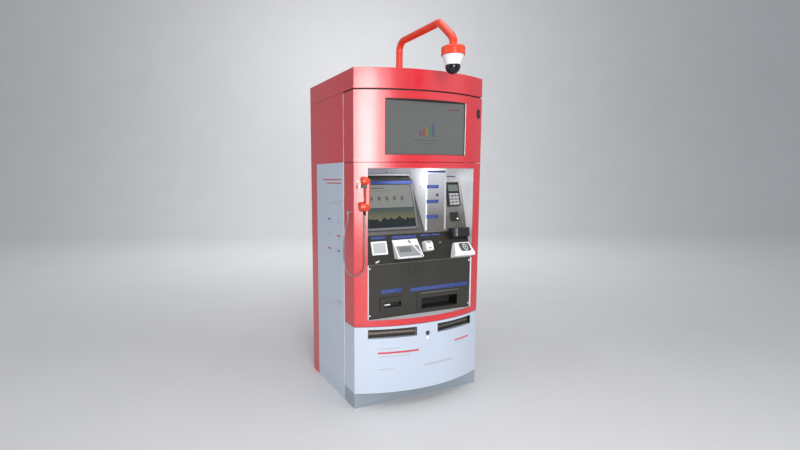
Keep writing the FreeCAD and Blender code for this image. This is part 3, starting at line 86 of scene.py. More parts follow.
def camera_turn(turn, tilt, roll):
    forward = Vector((math.sin(turn) * math.cos(tilt), math.cos(turn) * math.cos(tilt), -math.sin(tilt)))
    level = Vector((math.cos(turn), -math.sin(turn), 0))
    upright = level.cross(forward)
    right = level * math.cos(roll) + upright * math.sin(roll)
    up = upright * math.cos(roll) - level * math.sin(roll)
    return Matrix((right, up, -forward)).transposed().to_4x4()


bpy.ops.object.camera_add()
camera = bpy.context.object
camera.name = "camera"
camera.matrix_world = Matrix.Translation(CAMERA_PLACE) @ camera_turn(TURN, TILT, ROLL)
camera.data.sensor_width = 36
camera.data.lens = 21.633
camera.data.shift_x = 0.0679
camera.data.shift_y = 0.0149
bpy.context.scene.camera = camera
bpy.context.scene.view_settings.view_transform = "Standard"
print("camera at", tuple(round(value, 2) for value in camera.location))

# %% [markdown]
# ## Places
# Every panel of the console leans at its own angle. A matrix for each one lets a fitting be
# given in three plain numbers: across the kiosk, up along the panel, and out towards the user.
# Two short helpers write a move in millimetres and a turn in degrees. The cabinet's front is
# one arc of 1062.5 mm radius, and fittings on the doors are turned to face straight out of it.

# %% Panel directions
HALF_WIDTH, BOW_RISE, BOW_FRONT = 450, 100, 450
BOW_RADIUS = (HALF_WIDTH ** 2 + BOW_RISE ** 2) / (2 * BOW_RISE)
BOW_CENTRE = BOW_RADIUS - BOW_FRONT
CONSOLE, HEADER, STILE = -372, -130, -392
SHELF_FOOT, SHELF_LEAN, SHELF_RUN, FOLD = 877, 18, 176, 877.8
DEVICE_LEAN, SCREEN_LEAN, PAD_LEAN = 13, 16, 23
COLUMN_PROUD = 0.4
STRAIGHT = Matrix.Identity(4)


def shift(x, y, z):
    """A move in millimetres."""
    return Matrix.Translation((x * MM, y * MM, z * MM))


def spin(degrees, axis):
    return Matrix.Rotation(math.radians(degrees), 4, axis)


def panel(y, z, lean=0):
    return shift(0, y, z) @ spin(90 - lean, "X")


def facing(across, z=0):
    """Directions on the bowed front: across, inwards and up."""
    forward = BOW_CENTRE - math.sqrt(BOW_RADIUS ** 2 - across ** 2)
    return shift(across, forward, z) @ Matrix.Rotation(math.asin(across / BOW_RADIUS), 4, "Z")


corner_y = CONSOLE + SHELF_RUN * math.sin(math.radians(SHELF_LEAN))
corner_z = FOLD + SHELF_RUN * math.cos(math.radians(SHELF_LEAN))
upright = panel(CONSOLE, 0)
shelf = panel(CONSOLE, SHELF_FOOT, SHELF_LEAN)
device = panel(corner_y, corner_z, DEVICE_LEAN)
screen = panel(corner_y, corner_z, SCREEN_LEAN)
column = panel(corner_y - COLUMN_PROUD, 0)
header = panel(HEADER, 0)
signature = shelf @ shift(0, 22.5, 50.4) @ spin(-PAD_LEAN, "X")
stile = facing(STILE)
outward = spin(90, "X")
print("console corner at y", round(corner_y, 1), "z", round(corner_z, 1))

# %% [markdown]
# ## Cords
# Two cords hang at the front. The handset's cord is sheathed in interlocked steel rings, about
# 0.8 m long and 8 mm thick: it drops from the handset, turns in a round loop and climbs to a
# gland on the side of the door. The stylus has a thin limp tether. Each is a NURBS spline drawn
# by a few control points, because a spline sags in one smooth line. The spline is made a mesh
# tube, so that its rings can follow its own UV map.

# %% Draw the cords
PEN_TAIL = Vector((-0.024, 0.006, 0.0043))
RELIEF = -37


def deselect():
    bpy.ops.object.select_all(action="DESELECT")


def choose(piece):
    deselect()
    piece.select_set(True)
    bpy.context.view_layer.objects.active = piece


def cord_tube(name, points, thickness):
    """A tube along control points in millimetres, and the points of its middle line."""
    data = bpy.data.curves.new(name, "CURVE")
    data.dimensions = "3D"
    data.resolution_u = 12
    spline = data.splines.new("NURBS")
    spline.points.add(len(points) - 1)
    for point, place in zip(spline.points, points):
        point.co = (*[value * MM for value in place], 1)
    spline.order_u = 3
    spline.use_endpoint_u = True
    piece = bpy.data.objects.new(name, data)
    bpy.context.scene.collection.objects.link(piece)
    line = bpy.data.meshes.new_from_object(piece)
    path = [tuple(vertex.co) for vertex in line.vertices]
    bpy.data.meshes.remove(line)
    data.bevel_depth = thickness / 2 * MM
    data.bevel_resolution = 3
    data.use_fill_caps = True
    choose(piece)
    bpy.ops.object.convert(target="MESH")
    bpy.ops.object.shade_smooth()
    return piece, path


hand = stile @ shift(-40, -35, 0) @ spin(90, "Z")
out_x, out_y, out_z = hand @ Vector((0, RELIEF * MM, 1.175)) / MM
cord_points = [(out_x, out_y, out_z), (out_x, out_y, 1120), (-407, -405.5, 1050), (-405.5, -404.5, 980),
               (-405, -403, 915), (-407, -401, 873), (-418.5, -397, 843), (-443.5, -388, 826),
               (-473, -376, 826), (-496, -363, 843), (-509, -355, 873), (-513, -350, 925),
               (-511, -338, 985), (-501, -326, 1045), (-483, -312, 1095), (-462, -297, 1138),
               (-462, -297, 1176)]
handset_cord, cord_path = cord_tube("handset_cord_sheath", cord_points, 8)
tail, tail_way, edge_way, edge = [
    signature @ Vector(point) / MM
    for point in (PEN_TAIL, (-0.01795, -0.00663, 0.0043), (-0.112, -0.014, -0.006), (-0.112, 0, -0.006))]
tether_points = [tail, tail_way, (-16, -421, 886), (-20, -415, 856), (-31, -405, 827), (-49, -397, 806),
                 (-71, -393, 799), (-92, -393, 809), (-107, -397, 832), (-112, -405, 856),
                 (-112, -415, 879), edge_way, edge]
tether, tether_path = cord_tube("stylus_tether_line", tether_points, 2.5)
print("cord points", len(cord_path), "and", len(tether_path))

# %% [markdown]
# ## Paint by numbers
# A finish is worked out by shader nodes. Written as plain sums they are easier to read than
# drawn as boxes and wires, so one small class wraps a node's socket and turns +, -, *, > and <
# into Math nodes. Another class holds one finish and adds every other kind of node with one
# method: settings first, then sockets.

# %% Shader helpers
def sign_for(operation, swapped=False):
    """What one arithmetic sign does: it adds a Math node."""
    def act(value, other):
        pair = (other, value) if swapped else (value, other)
        return value.finish.add("ShaderNodeMath", {"operation": operation}, dict(enumerate(pair)))
    return act


class Value:
    """One socket of a finish, ready for arithmetic."""

    def __init__(self, finish, socket):
        self.finish = finish
        self.socket = socket

    __add__ = sign_for("ADD")
    __radd__ = sign_for("ADD", True)
    __sub__ = sign_for("SUBTRACT")
    __rsub__ = sign_for("SUBTRACT", True)
    __mul__ = sign_for("MULTIPLY")
    __rmul__ = sign_for("MULTIPLY", True)
    __gt__ = sign_for("GREATER_THAN")
    __lt__ = sign_for("LESS_THAN")

    def between(self, low, high):
        return (self > low) * (self < high)


class Finish:
    """One material: its shader's fixed values, and the nodes that vary over the surface."""

    def __init__(self, name, colour, roughness=0.4, metallic=0.0, **fixed):
        self.material = bpy.data.materials.new(name)
        self.material.use_nodes = True
        self.tree = self.material.node_tree
        self.shader = self.tree.nodes["Principled BSDF"]
        self.set("Base Color", (*colour, 1))
        self.set("Roughness", roughness)
        self.set("Metallic", metallic)
        for socket, value in fixed.items():
            self.set(socket.replace("_", " "), value)
        self.place = self.add("ShaderNodeTexCoord", output="Object")

    def set(self, name, value):
        socket = self.shader.inputs[name]
        if isinstance(value, Value):
            self.tree.links.new(value.socket, socket)
        else:
            socket.default_value = value

    def add(self, kind, settings=None, inputs=None, output=0):
        node = self.tree.nodes.new(kind)
        for name, value in (settings or {}).items():
            setattr(node, name, value)
        for name, value in (inputs or {}).items():
            if isinstance(value, Value):
                self.tree.links.new(value.socket, node.inputs[name])
            else:
                node.inputs[name].default_value = value
        return Value(self, node.outputs[output])

    def axis(self, letter):
        return self.add("ShaderNodeSeparateXYZ", inputs={0: self.place}, output=letter)

    def stretched(self, x, y, z):
        return self.add("ShaderNodeMapping", inputs={"Vector": self.place, "Scale": (x, y, z)})

    def noise(self, scale, detail=2.0, place=None):
        inputs = {"Vector": place or self.place, "Scale": scale, "Detail": detail}
        return self.add("ShaderNodeTexNoise", inputs=inputs, output="Fac")

    def blend(self, low, high, factor):
        return self.add("ShaderNodeMix", {"data_type": "RGBA"}, {0: factor, 6: low, 7: high}, output=2)

    def clouded(self, colour, low, high, scale, detail):
        """A colour that drifts between two tones of itself."""
        return self.blend(tone(colour, low), tone(colour, high), self.noise(scale, detail))

    def bump(self, height, distance, strength=1.0):
        inputs = {"Height": height, "Distance": distance, "Strength": strength}
        self.set("Normal", self.add("ShaderNodeBump", inputs=inputs))


def tone(colour, factor):
    """A darker or lighter copy of a colour."""
    return (*[min(1, value * factor) for value in colour[:3]], 1)


# %% [markdown]
# ## Powder coat
# The cabinet is sheet steel under a baked powder coat. Close up such paint isn't flat: it has a
# fine orange-peel ripple, and its gloss wanders a little. Each of these is one noise. The ripple
# goes to the bump and the wander to the roughness. A third, mottled noise, a function of height,
# darkens the colour near the floor: this is painted shade on the cabinet's lowest part.

# %% Powder coat
RED = (0.585, 0.016, 0.028)
WHITE = (0.76, 0.785, 0.82)
FILM = (0.49, 0.555, 0.665)
PALE = (0.255, 0.30, 0.345)
FLOOR_SHADE = (0.35, 0.33, 0.31, 1)
FLOOR_SHADE_TOP = 0.22


def powder_coat(name, colour, roughness=0.3):
    finish = Finish(name, colour, roughness, Coat_Weight=0.75, Coat_Roughness=0.18)
    shade = finish.clouded(colour, 0.93, 1.05, 2.5, 3)
    # Painted shade: below 0.22 m the colour darkens in mottled patches towards the floor.
    floor_shade = (FLOOR_SHADE_TOP - finish.axis("Z")) * 2.2 * finish.noise(14, 4)
    finish.set("Base Color", finish.blend(shade, FLOOR_SHADE, (floor_shade > 0) * floor_shade * 0.5))
    finish.set("Roughness", roughness - 0.05 + finish.noise(9, 3) * 0.1)
    finish.bump(finish.noise(620, 1), 0.00012, 0.5)
    return finish


red_coat = powder_coat("red_powder_coat", RED)
white_coat = powder_coat("white_powder_coat", WHITE, 0.34)
print("powder coats", red_coat.material.name, white_coat.material.name)

# %% [markdown]
# ## Printed film
# A pale printed film covers most of each side and the lower door, and runs down over the
# plinth's sides. It stops in straight edges and leaves the red paint as a border. The film is
# laid out in the finish itself: a mask picks its rectangle from the object's own coordinates,
# and plain bars of grey, blue and red make a quiet pattern on it.

# %% Printed film
INK_GREY = (0.42, 0.44, 0.50, 1)
INK_BLUE = (0.09, 0.13, 0.36, 1)
INK_RED = (0.55, 0.05, 0.07, 1)
# The two edge colours below are a painted highlight along each side panel's front edge.
EDGE_HIGHLIGHT = (0.90, 0.91, 0.94, 1)
EDGE_HIGHLIGHT_PINK = (0.78, 0.32, 0.36, 1)
FILM_FRONT, FILM_BACK, FILM_TOP = -0.225, 0.240, 1.480


def bars(finish, across, up, colour, rows):
    """Lay printed bars over a colour: each row is (left, right, bottom, top, ink), in metres."""
    for left, right, low, high, ink in rows:
        colour = finish.blend(colour, ink, across.between(left, right) * up.between(low, high))
    return colour


def side_film():
    finish = powder_coat("side_panel_film", RED)
    depth, height = finish.axis("Y"), finish.axis("Z")
    film = depth.between(FILM_FRONT, FILM_BACK) * (height < FILM_TOP)
    edge = depth < -0.2035
    clean = finish.clouded(FILM, 0.96, 1.04, 3, 2)
    rows = [(-0.17, 0.13, 1.374, 1.382, INK_RED), (-0.17, 0.06, 1.352, 1.360, INK_RED),
            (-0.17, -0.03, 1.240, 1.246, INK_GREY), (-0.17, 0.02, 1.226, 1.232, INK_GREY),
            (-0.17, -0.08, 0.610, 0.616, INK_RED), (-0.17, 0.12, 0.590, 0.596, INK_GREY),
            (-0.17, 0.06, 0.572, 0.578, INK_GREY)]
    for number in range(6):
        left, low = -0.15 + 0.15 * (number % 2), 1.120 - 0.095 * (number // 2)
        ink = (INK_GREY, INK_BLUE, INK_RED)[number % 3]
        rows.append((left, left + 0.05, low, low + 0.012, ink))
        rows.append((left, left + 0.03, low - 0.018, low - 0.010, INK_GREY))
    printed = bars(finish, depth, height, clean, rows)
    sheet = finish.blend(finish.clouded(RED, 0.95, 1.05, 2.5, 3), printed, film)
    # Painted highlight: a pale line down the side's front edge, pink on the red paint above the film.
    painted_edge_highlight = finish.blend(EDGE_HIGHLIGHT, EDGE_HIGHLIGHT_PINK, height > FILM_TOP)
    finish.set("Base Color", finish.blend(sheet, painted_edge_highlight, edge))
    return finish


def front_film():
    finish = powder_coat("lower_door_film", FILM, 0.32)
    clean = finish.clouded(FILM, 0.96, 1.04, 3, 2)
    rows = [(-0.32, -0.19, 0.368, 0.375, INK_GREY), (-0.32, -0.06, 0.338, 0.350, INK_RED),
            (-0.32, -0.12, 0.318, 0.324, INK_GREY), (-0.32, -0.22, 0.240, 0.246, INK_GREY),
            (0.22, 0.36, 0.352, 0.362, INK_RED), (0.22, 0.31, 0.334, 0.340, INK_GREY),
            (-0.02, 0.20, 0.236, 0.248, INK_GREY)]
    finish.set("Base Color", bars(finish, finish.axis("X"), finish.axis("Z"), clean, rows))
    return finish


def plinth_film():
    """The plinth's own grey, with the side film and the red border carried down over its sides."""
    finish = powder_coat("plinth_powder_coat", PALE, 0.4)
    across, depth = finish.axis("X"), finish.axis("Y")
    side = (across * across > 0.2012) * (depth > -0.209)
    wrapped = finish.blend((*RED, 1), finish.clouded(FILM, 0.94, 1.02, 3, 2), depth < FILM_BACK)
    finish.set("Base Color", finish.blend(finish.clouded(PALE, 0.94, 1.06, 3, 3), wrapped, side))
    return finish


side_finish = side_film()
front_finish = front_film()
plinth_finish = plinth_film()
print("films", side_finish.material.name, front_finish.material.name, plinth_finish.material.name)

# %% [markdown]
# ## Metals
# The console is stainless sheet with brushed lines along the kiosk. A brush line is a noise
# pulled out very long in one direction, which feeds the colour, the roughness and a faint bump.
# Cleaning leaves broad smears, a second and much softer noise. Two of the panels are painted
# paler towards their top, a painted reflection. The panel behind the display takes a lighter copy
# of the steel, painted light where it lies in shade. Bright trim is the same steel polished, with
# only its smears left. A pale band across the flaps is a painted highlight.

# %% Metals
STEEL = (0.092, 0.089, 0.080)
BRIGHT = (0.72, 0.73, 0.75)


def brushed(name, colour, roughness=0.34):
    finish = Finish(name, colour, roughness, 1.0)
    lines = finish.noise(1.0, 3, finish.stretched(6, 900, 900))
    smear = finish.noise(1.0, 3, finish.stretched(7, 7, 1.5))
    finish.shade = finish.blend(tone(colour, 0.80), tone(colour, 1.22), lines * 0.5 + smear * 0.5)
    finish.set("Base Color", finish.shade)
    finish.set("Roughness", roughness - 0.1 + lines * 0.12 + smear * 0.1)
    finish.bump(lines, 0.00006, 0.4)
    return finish


def reflection_topped(name, colour, reflected_colour, foot):
    """Brushed steel, painted paler towards its top: a painted reflection."""
    finish = brushed(name, colour, 0.52)
    rise = (finish.axis("Z") - foot) * 3.2
    clean = finish.clouded(reflected_colour, 0.92, 1.08, 6, 3)
    # Painted reflection: above the foot height the colour pales into a bright tone.
    finish.set("Base Color", finish.blend(finish.shade, clean, (rise > 0) * rise))
    return finish


def polished(name, colour, roughness=0.14):
    finish = Finish(name, colour, roughness, 1.0)
    finish.set("Roughness", roughness - 0.04 + finish.noise(40, 3) * 0.12)
    finish.set("Base Color", finish.clouded(colour, 0.94, 1.03, 12, 2))
    return finish


steel = brushed("brushed_console_steel", STEEL, 0.42)
shelf_steel = brushed("brushed_shelf_steel", (0.062, 0.059, 0.053), 0.44)
# A lighter copy of the console steel, painted light on the display panel, which lies in shade.
lit_display_steel = brushed("brushed_steel_lit_copy", (0.20, 0.19, 0.175), 0.45)
band_steel = brushed("brushed_header_band", (0.50, 0.51, 0.56), 0.45)
flap_steel = brushed("dark_flap_steel", (0.055, 0.048, 0.042), 0.42)
# Painted highlight: a pale horizontal band across the flaps.
painted_highlight_band = flap_steel.axis("Z").between(0.456, 0.470)
flap_steel.set("Base Color", flap_steel.blend(flap_steel.shade, (0.20, 0.18, 0.15, 1), painted_highlight_band))
tray_steel = brushed("brushed_tray_steel", (0.30, 0.29, 0.27), 0.35)
zinc = brushed("zinc_plated_sheet", (0.45, 0.46, 0.47), 0.5)
REFLECTION_FOOT = 1.13
# The column's face and the device panel carry the painted reflection at their top.
column_steel = reflection_topped("column_face_steel", (0.23, 0.215, 0.20), (0.84, 0.84, 0.92), REFLECTION_FOOT)
panel_steel = reflection_topped("device_panel_steel", (0.20, 0.19, 0.175), (0.86, 0.85, 0.84), REFLECTION_FOOT)
bright = polished("polished_trim", BRIGHT)
gland = polished("gland_nickel", (0.34, 0.33, 0.32), 0.2)
print("metals", steel.material.name, bright.material.name)

# %% [markdown]
# ## Sheathed cord
# The handset's cord is a spring-like steel sheath. Its rings go round the cord, so they follow
# the tube's own UV map: one coordinate runs along the cord, and a sine of it makes the rings.

# %% Sheathed cord
def sheath(name, colour, rings):
    finish = Finish(name, colour, 0.3, 1.0)
    along = finish.add("ShaderNodeSeparateXYZ", inputs={0: finish.add("ShaderNodeUVMap")}, output="X")
    wave = finish.add("ShaderNodeMath", {"operation": "SINE"}, {0: along * rings * 2 * math.pi})
    crest = wave * 0.5 + 0.5
    # Painted shade: the troughs between the rings are much darker than the crests.
    finish.set("Base Color", finish.blend(tone(colour, 0.35), tone(colour, 1.15), crest))
    finish.set("Roughness", 0.45 - crest * 0.2)
    finish.bump(crest, 0.0006, 0.9)
    return finish


sheathed = sheath("interlocked_steel_sheath", (0.42, 0.395, 0.375), 220)
print("sheath", sheathed.material.name)

# %% [markdown]
# ## Plastics and rubber
# Moulded cases have a fine spark-eroded grain, a little stronger on the black ones. The handset
# is polished red plastic with only a soft wave in it. Keys and printed films get a much
# shallower grain.

# %% Plastics
def moulded(name, colour, roughness=0.45, grain=0.00008, size=1400):
    finish = Finish(name, colour, roughness)
    finish.set("Base Color", finish.clouded(colour, 0.94, 1.05, 7, 3))
    finish.set("Roughness", roughness - 0.06 + finish.noise(60, 3) * 0.12)
    finish.bump(finish.noise(size, 2), grain, 0.6)
    return finish


black = moulded("black_grained_plastic", (0.010, 0.010, 0.011), 0.45, 0.0001)
white = moulded("white_case_plastic", (0.78, 0.79, 0.80), 0.38)
grey = moulded("grey_case_plastic", (0.26, 0.265, 0.285), 0.42)
bezel = moulded("bezel_plastic", (0.125, 0.125, 0.145), 0.42)
dark_grey = moulded("dark_grey_case_plastic", (0.075, 0.075, 0.08), 0.42)
pale_key = moulded("pale_key_plastic", (0.42, 0.43, 0.45), 0.5, 0.00004)
cancel_key = moulded("red_key_plastic", (0.55, 0.03, 0.03), 0.45, 0.00004)
enter_key = moulded("green_key_plastic", (0.04, 0.33, 0.10), 0.45, 0.00004)
seal = moulded("black_seal_rubber", (0.012, 0.012, 0.013), 0.75, 0.00012, 2200)
red_plastic = moulded("red_handset_plastic", (0.62, 0.046, 0.016), 0.25, 0.00002, 300)
red_gloss = moulded("red_arm_enamel", (0.72, 0.052, 0.020), 0.2, 0.00003, 240)
label_blue = moulded("blue_label_film", (0.022, 0.045, 0.20), 0.5, 0.00002, 900)
rule_ink = moulded("pale_blue_print", (0.11, 0.15, 0.30), 0.5, 0.00002)
# A beige that serves only as a painted reflection on the shelf.
beige_reflection = moulded("painted_beige_reflection", (0.62, 0.55, 0.44), 0.7, 0.00006, 500)
dark_blue = moulded("dark_blue_film", (0.02, 0.03, 0.12), 0.3, 0.00002, 900)
print("plastics", len(bpy.data.materials))

# %% [markdown]
# ## Lit things and glass
# Screens are a dark panel with light in it. Their glow goes through the emission colour, so a
# picture can be laid out with the same masks as the printed film. The camera's dome is smoked
# plastic that lets a little light through.

# %% Lit things and glass
def lit(name, colour, strength, body=(0.02, 0.02, 0.02), roughness=0.15):
    finish = Finish(name, body, roughness, Emission_Strength=strength)
    glow = finish.noise(30, 2) * 0.08 + 0.96
    finish.set("Emission Color", finish.blend((0, 0, 0, 1), (*colour, 1), glow))
    return finish


# A glowing white that serves only as a painted highlight: the glint on the scanner window.
glint_glow = lit("painted_glint_glow", (1.0, 0.98, 0.94), 7.0)
lcd = lit("keypad_lcd", (0.30, 0.36, 0.33), 0.35, (0.06, 0.07, 0.07))
icon_ink = moulded("dark_icon_ink", (0.05, 0.055, 0.08), 0.35, 0.00002)
smoked = Finish("smoked_dome", (0.008, 0.008, 0.010), 0.05, Transmission_Weight=0.25, IOR=1.45)
smoked.set("Roughness", 0.05 + smoked.noise(20, 2) * 0.05)
lens = Finish("dark_lens", (0.01, 0.012, 0.02), 0.05, Coat_Weight=1.0)
lens.set("Roughness", 0.04 + lens.noise(30, 2) * 0.05)
print("lights and glass", len(bpy.data.materials))

# %% [markdown]
# ## How a piece is made
# Three ways of making a shape cover nearly every fitting. A plate or a plain case starts as a
# cube, stretched to its size, whose corners may be rounded. A round fitting is a circle, extruded
# ring by ring. A sheet-metal part or a moulded case is taken from its own solid, because that
# already has every hole in the right place. No real edge is razor sharp, so nearly every piece
# ends with a small bevel that catches the light.

# %% Piece helpers
SHARP, FLAT, WELD = 35, 0.6, 0.00001
SLOT_FINISHES = {
    "red_paint": (red_coat, side_finish, red_gloss),
    "white_paint": (white_coat, front_finish),
    "pale_paint": (plinth_finish,),
    "brushed_console": (steel, shelf_steel, lit_display_steel, band_steel, flap_steel, column_steel,
                        panel_steel, tray_steel),
    "galvanised": (zinc,),
    "bright_steel": (bright, gland),
    "armoured_cord": (sheathed,),
    "black_plastic": (black, seal),
    "white_plastic": (white, beige_reflection, glint_glow),
    "grey_plastic": (grey, dark_grey, bezel, pale_key),
    "cancel_plastic": (cancel_key,),
    "enter_plastic": (enter_key,),
    "handset_plastic": (red_plastic,),
    "screen_plastic": (rule_ink, label_blue, dark_blue, icon_ink, lcd, lens),
    "smoked_dome": (smoked,)}
SLOTS = {finish: slot for slot, finishes in SLOT_FINISHES.items() for finish in finishes}


def enter(mode):
    bpy.ops.object.mode_set(mode=mode)


def modify(piece, kind, **settings):
    """Apply one modifier."""
    choose(piece)
    modifier = piece.modifiers.new(kind, kind)
    for name, value in settings.items():
        setattr(modifier, name, value)
    bpy.ops.object.modifier_apply(modifier=modifier.name)


def smooth(piece, angle=SHARP):
    choose(piece)
    bpy.ops.object.shade_smooth_by_angle(angle=math.radians(angle))


def round_edges(piece, width, segments=2):
    """Ease the sharp edges with a bevel whose width is in millimetres."""
    modify(piece, "BEVEL", width=width * MM, segments=segments, limit_method="ANGLE",
           angle_limit=math.radians(SHARP))
    smooth(piece)
    modify(piece, "WEIGHTED_NORMAL", keep_sharp=True)


def settle(piece, name, finish, place=STRAIGHT, body="cabinet", stands_for=()):
    """Put a finished mesh in its place and on its body, and give it its material."""
    piece.data.transform(place)
    piece.name = name
    piece.data.name = name
    piece.data.materials.clear()
    piece.data.materials.append(finish.material)
    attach(piece, body)
    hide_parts(*stands_for)
    return piece


def pick_edges(piece, test):
    """Open a piece for editing, with only the edges selected whose two ends pass a test."""
    choose(piece)
    mesh = piece.data
    for part in (*mesh.vertices, *mesh.edges, *mesh.polygons):
        part.select = False
    bpy.context.tool_settings.mesh_select_mode = (False, True, False)
    for edge in mesh.edges:
        edge.select = test(*[mesh.vertices[end].co for end in edge.vertices])
    enter("EDIT")


def round_corners(piece, test, radius, segments):
    pick_edges(piece, test)
    bpy.ops.mesh.bevel(offset=radius * MM, segments=segments, affect="EDGES")
    enter("OBJECT")


def solid(spans, corner=0, along=2):
    """A cube stretched over three spans in millimetres. Its edges along one axis may be rounded."""
    deselect()
    bpy.ops.mesh.primitive_cube_add(size=1)
    piece = bpy.context.object
    low = Vector([min(span) for span in spans])
    high = Vector([max(span) for span in spans])
    piece.data.transform(shift(*(low + high) / 2) @ Matrix.Diagonal((*((high - low) * MM), 1)))
    if corner:
        round_corners(piece, lambda one, other: abs((one - other).normalized()[along]) > 0.99, corner, 6)
    return piece


def block(name, spans, finish, place=STRAIGHT, edge=0.4, corner=0, along=2, **ties):
    """A plain case or plate with eased edges."""
    piece = solid(spans, corner, along)
    round_edges(piece, edge)
    return settle(piece, name, finish, place, **ties)


def face_outwards():
    """Turn every face of the mesh in edit mode outwards, and leave edit mode."""
    bpy.ops.mesh.select_all(action="SELECT")
    bpy.ops.mesh.normals_make_consistent(inside=False)
    enter("OBJECT")


def turned(rings, sides=48):
    """A round piece from its rings, each a radius and a height in millimetres."""
    deselect()
    radius, height = rings[0]
    bpy.ops.mesh.primitive_circle_add(vertices=sides, radius=radius * MM, fill_type="NGON")
    piece = bpy.context.object
    enter("EDIT")
    bpy.ops.mesh.select_all(action="SELECT")
    bpy.ops.transform.translate(value=(0, 0, height * MM))
    for wider, higher in rings[1:]:
        bpy.ops.mesh.extrude_region_move(TRANSFORM_OT_translate={"value": (0, 0, (higher - height) * MM)})
        bpy.ops.transform.resize(value=(wider / radius, wider / radius, 1))
        radius, height = wider, higher
    face_outwards()
    return piece


def fitting(name, rings, finish, place=STRAIGHT, body="cabinet", sides=32, edge=0, stands_for=()):
    """A small turned piece, its edges eased where it has a bevel."""
    piece = turned(rings, sides)
    if edge:
        round_edges(piece, edge)
    return settle(piece, name, finish, place, body, stands_for)


def softened(node, name, finish, width=0.6, segments=2):
    """A copy of a solid sub-part with its sharp edges eased."""
    source = nodes[node]
    piece = bpy.data.objects.new(name, source.data.copy())
    bpy.context.scene.collection.objects.link(piece)
    choose(piece)
    enter("EDIT")
    bpy.ops.mesh.select_all(action="SELECT")
    bpy.ops.mesh.remove_doubles(threshold=WELD)
    bpy.ops.mesh.dissolve_limited(angle_limit=math.radians(FLAT))
    face_outwards()
    round_edges(piece, width, segments)
    return settle(piece, name, finish, STRAIGHT, source["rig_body"], (node,))


print("helpers ready, sub-parts", len(nodes))

# %% [markdown]
# ## Cabinet
# The kiosk is welded and folded from thin sheet: a plinth, two sides, a back, a cap on a dark
# deck, and three doors with folded edges, hinged on knuckles at the left. Red strips fill the
# joint under the cap at the sides and the back, so it stays open only above the doors. Folded
# sheet has a soft edge, so each of these sub-parts gets a bevel of about a millimetre.

# %% Cabinet
softened("plinth", "plinth_frame", plinth_finish, 1.2)
softened("side_panel_left", "left_side_sheet", side_finish, 0.8)
softened("side_panel_right", "right_side_sheet", side_finish, 0.8)
softened("rear_panel", "rear_sheet", red_coat, 0.6)
softened("front_post_left", "left_post_tube", zinc, 0.6)
softened("front_post_right", "right_post_tube", zinc, 0.6)
softened("top_deck", "shadow_deck", seal, 0.6)
softened("top_cap", "cap_shell", red_coat, 1.6, 3)
for side, across, along in (("left", (-448.8, -445), (-207, 345)), ("right", (445, 448.8), (-207, 345)),
                            ("rear", (-448.8, 448.8), (345.2, 348.8))):
    block(f"cap_joint_{side}", (across, along, (1879.7, 1886.3)), red_coat, edge=0.5)
softened("alcove_liner", "alcove_lining", white_coat, 0.6)
softened("upper_door", "upper_door_skin", red_coat, 1.2)
softened("middle_door", "middle_door_skin", red_coat, 1.2)
softened("lower_door", "lower_door_skin", front_finish, 1.2)
for hidden in ("computer", "document_printers"):
    for slot in nodes[hidden].material_slots:
        slot.material = zinc.material
print("cabinet sheets in place")

# %% [markdown]
# ## Console
# The console is four pieces of brushed stainless sheet: an upright lower panel, a leaning shelf,
# a leaning panel behind the display and a narrow one behind the payment devices. Between the
# last two stands a white housing with a steel face. The face and the narrow panel are painted
# paler towards their top, a painted reflection. Four dome-headed screws hold the lower panel.
# Blue film labels with pale rules mark the devices.

# %% Console sheets
softened("lower_panel", "lower_console_sheet", steel, 0.5)
softened("shelf_panel", "shelf_sheet", shelf_steel, 0.8)
# The display panel takes the lighter steel: painted light.
softened("display_panel", "display_sheet", lit_display_steel, 0.5)
softened("device_panel", "device_sheet", panel_steel, 0.5)
softened("service_column", "service_housing", white_coat, 1.2, 3)


def label(name, across, along, place, rules, out=0):
    """A blue film label, with pale rules on it."""
    block(name, (across, along, (out, out + 0.4)), label_blue, place, edge=0.12, corner=1)
    low, high = along
    gap = (high - low) / (rules + 1)
    for number in range(rules):
        middle = high - gap * (number + 1)
        right = across[1] - (across[1] - across[0]) * (0.25 + 0.15 * number)
        spans = ((across[0] + 5, right), (middle - 0.9, middle + 0.9), (out + 0.35, out + 0.55))
        block(f"{name}_rule_{number}", spans, rule_ink, place, edge=0.05)


for name, across, along, place, rules in (
        ("card_slot", (-283, -140), (697, 722), upright, 2),
        ("cash_tray", (-80, 356), (690, 715), upright, 2),
        ("card_pad", (-327, -227), (153, 169), shelf, 1),
        ("signature", (-183, -11), (148, 166), shelf, 1),
        ("chip", (20, 92), (154, 166), shelf, 1),
        ("reader", (101, 167), (155, 165), shelf, 1),
        ("terminal", (262, 341), (353, 361), device, 1)):
    label(f"label_{name}", across, along, place, rules)
for number, (low, high) in enumerate(((1131, 1155), (1227, 1249), (1320, 1341))):
    label(f"label_column_{number}", (66, 155), (low, high), column, 2, 0.1)


DOME = [(6, 0), (6, 1.2), (5.16, 2.4), (3.3, 3.3), (1.2, 3.7)]
for number, (across, along) in enumerate(((-357, 571), (361, 571), (-357, 855), (361, 855))):
    fitting(f"console_screw_{number}", DOME, bright, upright @ shift(across, along, 0), edge=0.2)
# The column's face pales towards its top: a painted reflection.
block("column_face", ((72, 200), (1058, 1414), (-0.9, 0.1)), column_steel, column, 0.3, corner=1)
block("column_foot", ((60.6, 211.4), (1046, 1058), (0, 0.4)), column_steel, column, 0.1)
block("column_edge", ((200, 211.4), (1058, 1416), (0, 0.4)), pale_key, column, 0.1)
block("column_strip", ((66, 206), (1417, 1430), (0, 0.4)), dark_blue, column, 0.1)
block("shelf_glint", ((150, 166), (106, 109), (0, 0.5)), bright, shelf, 0.15)
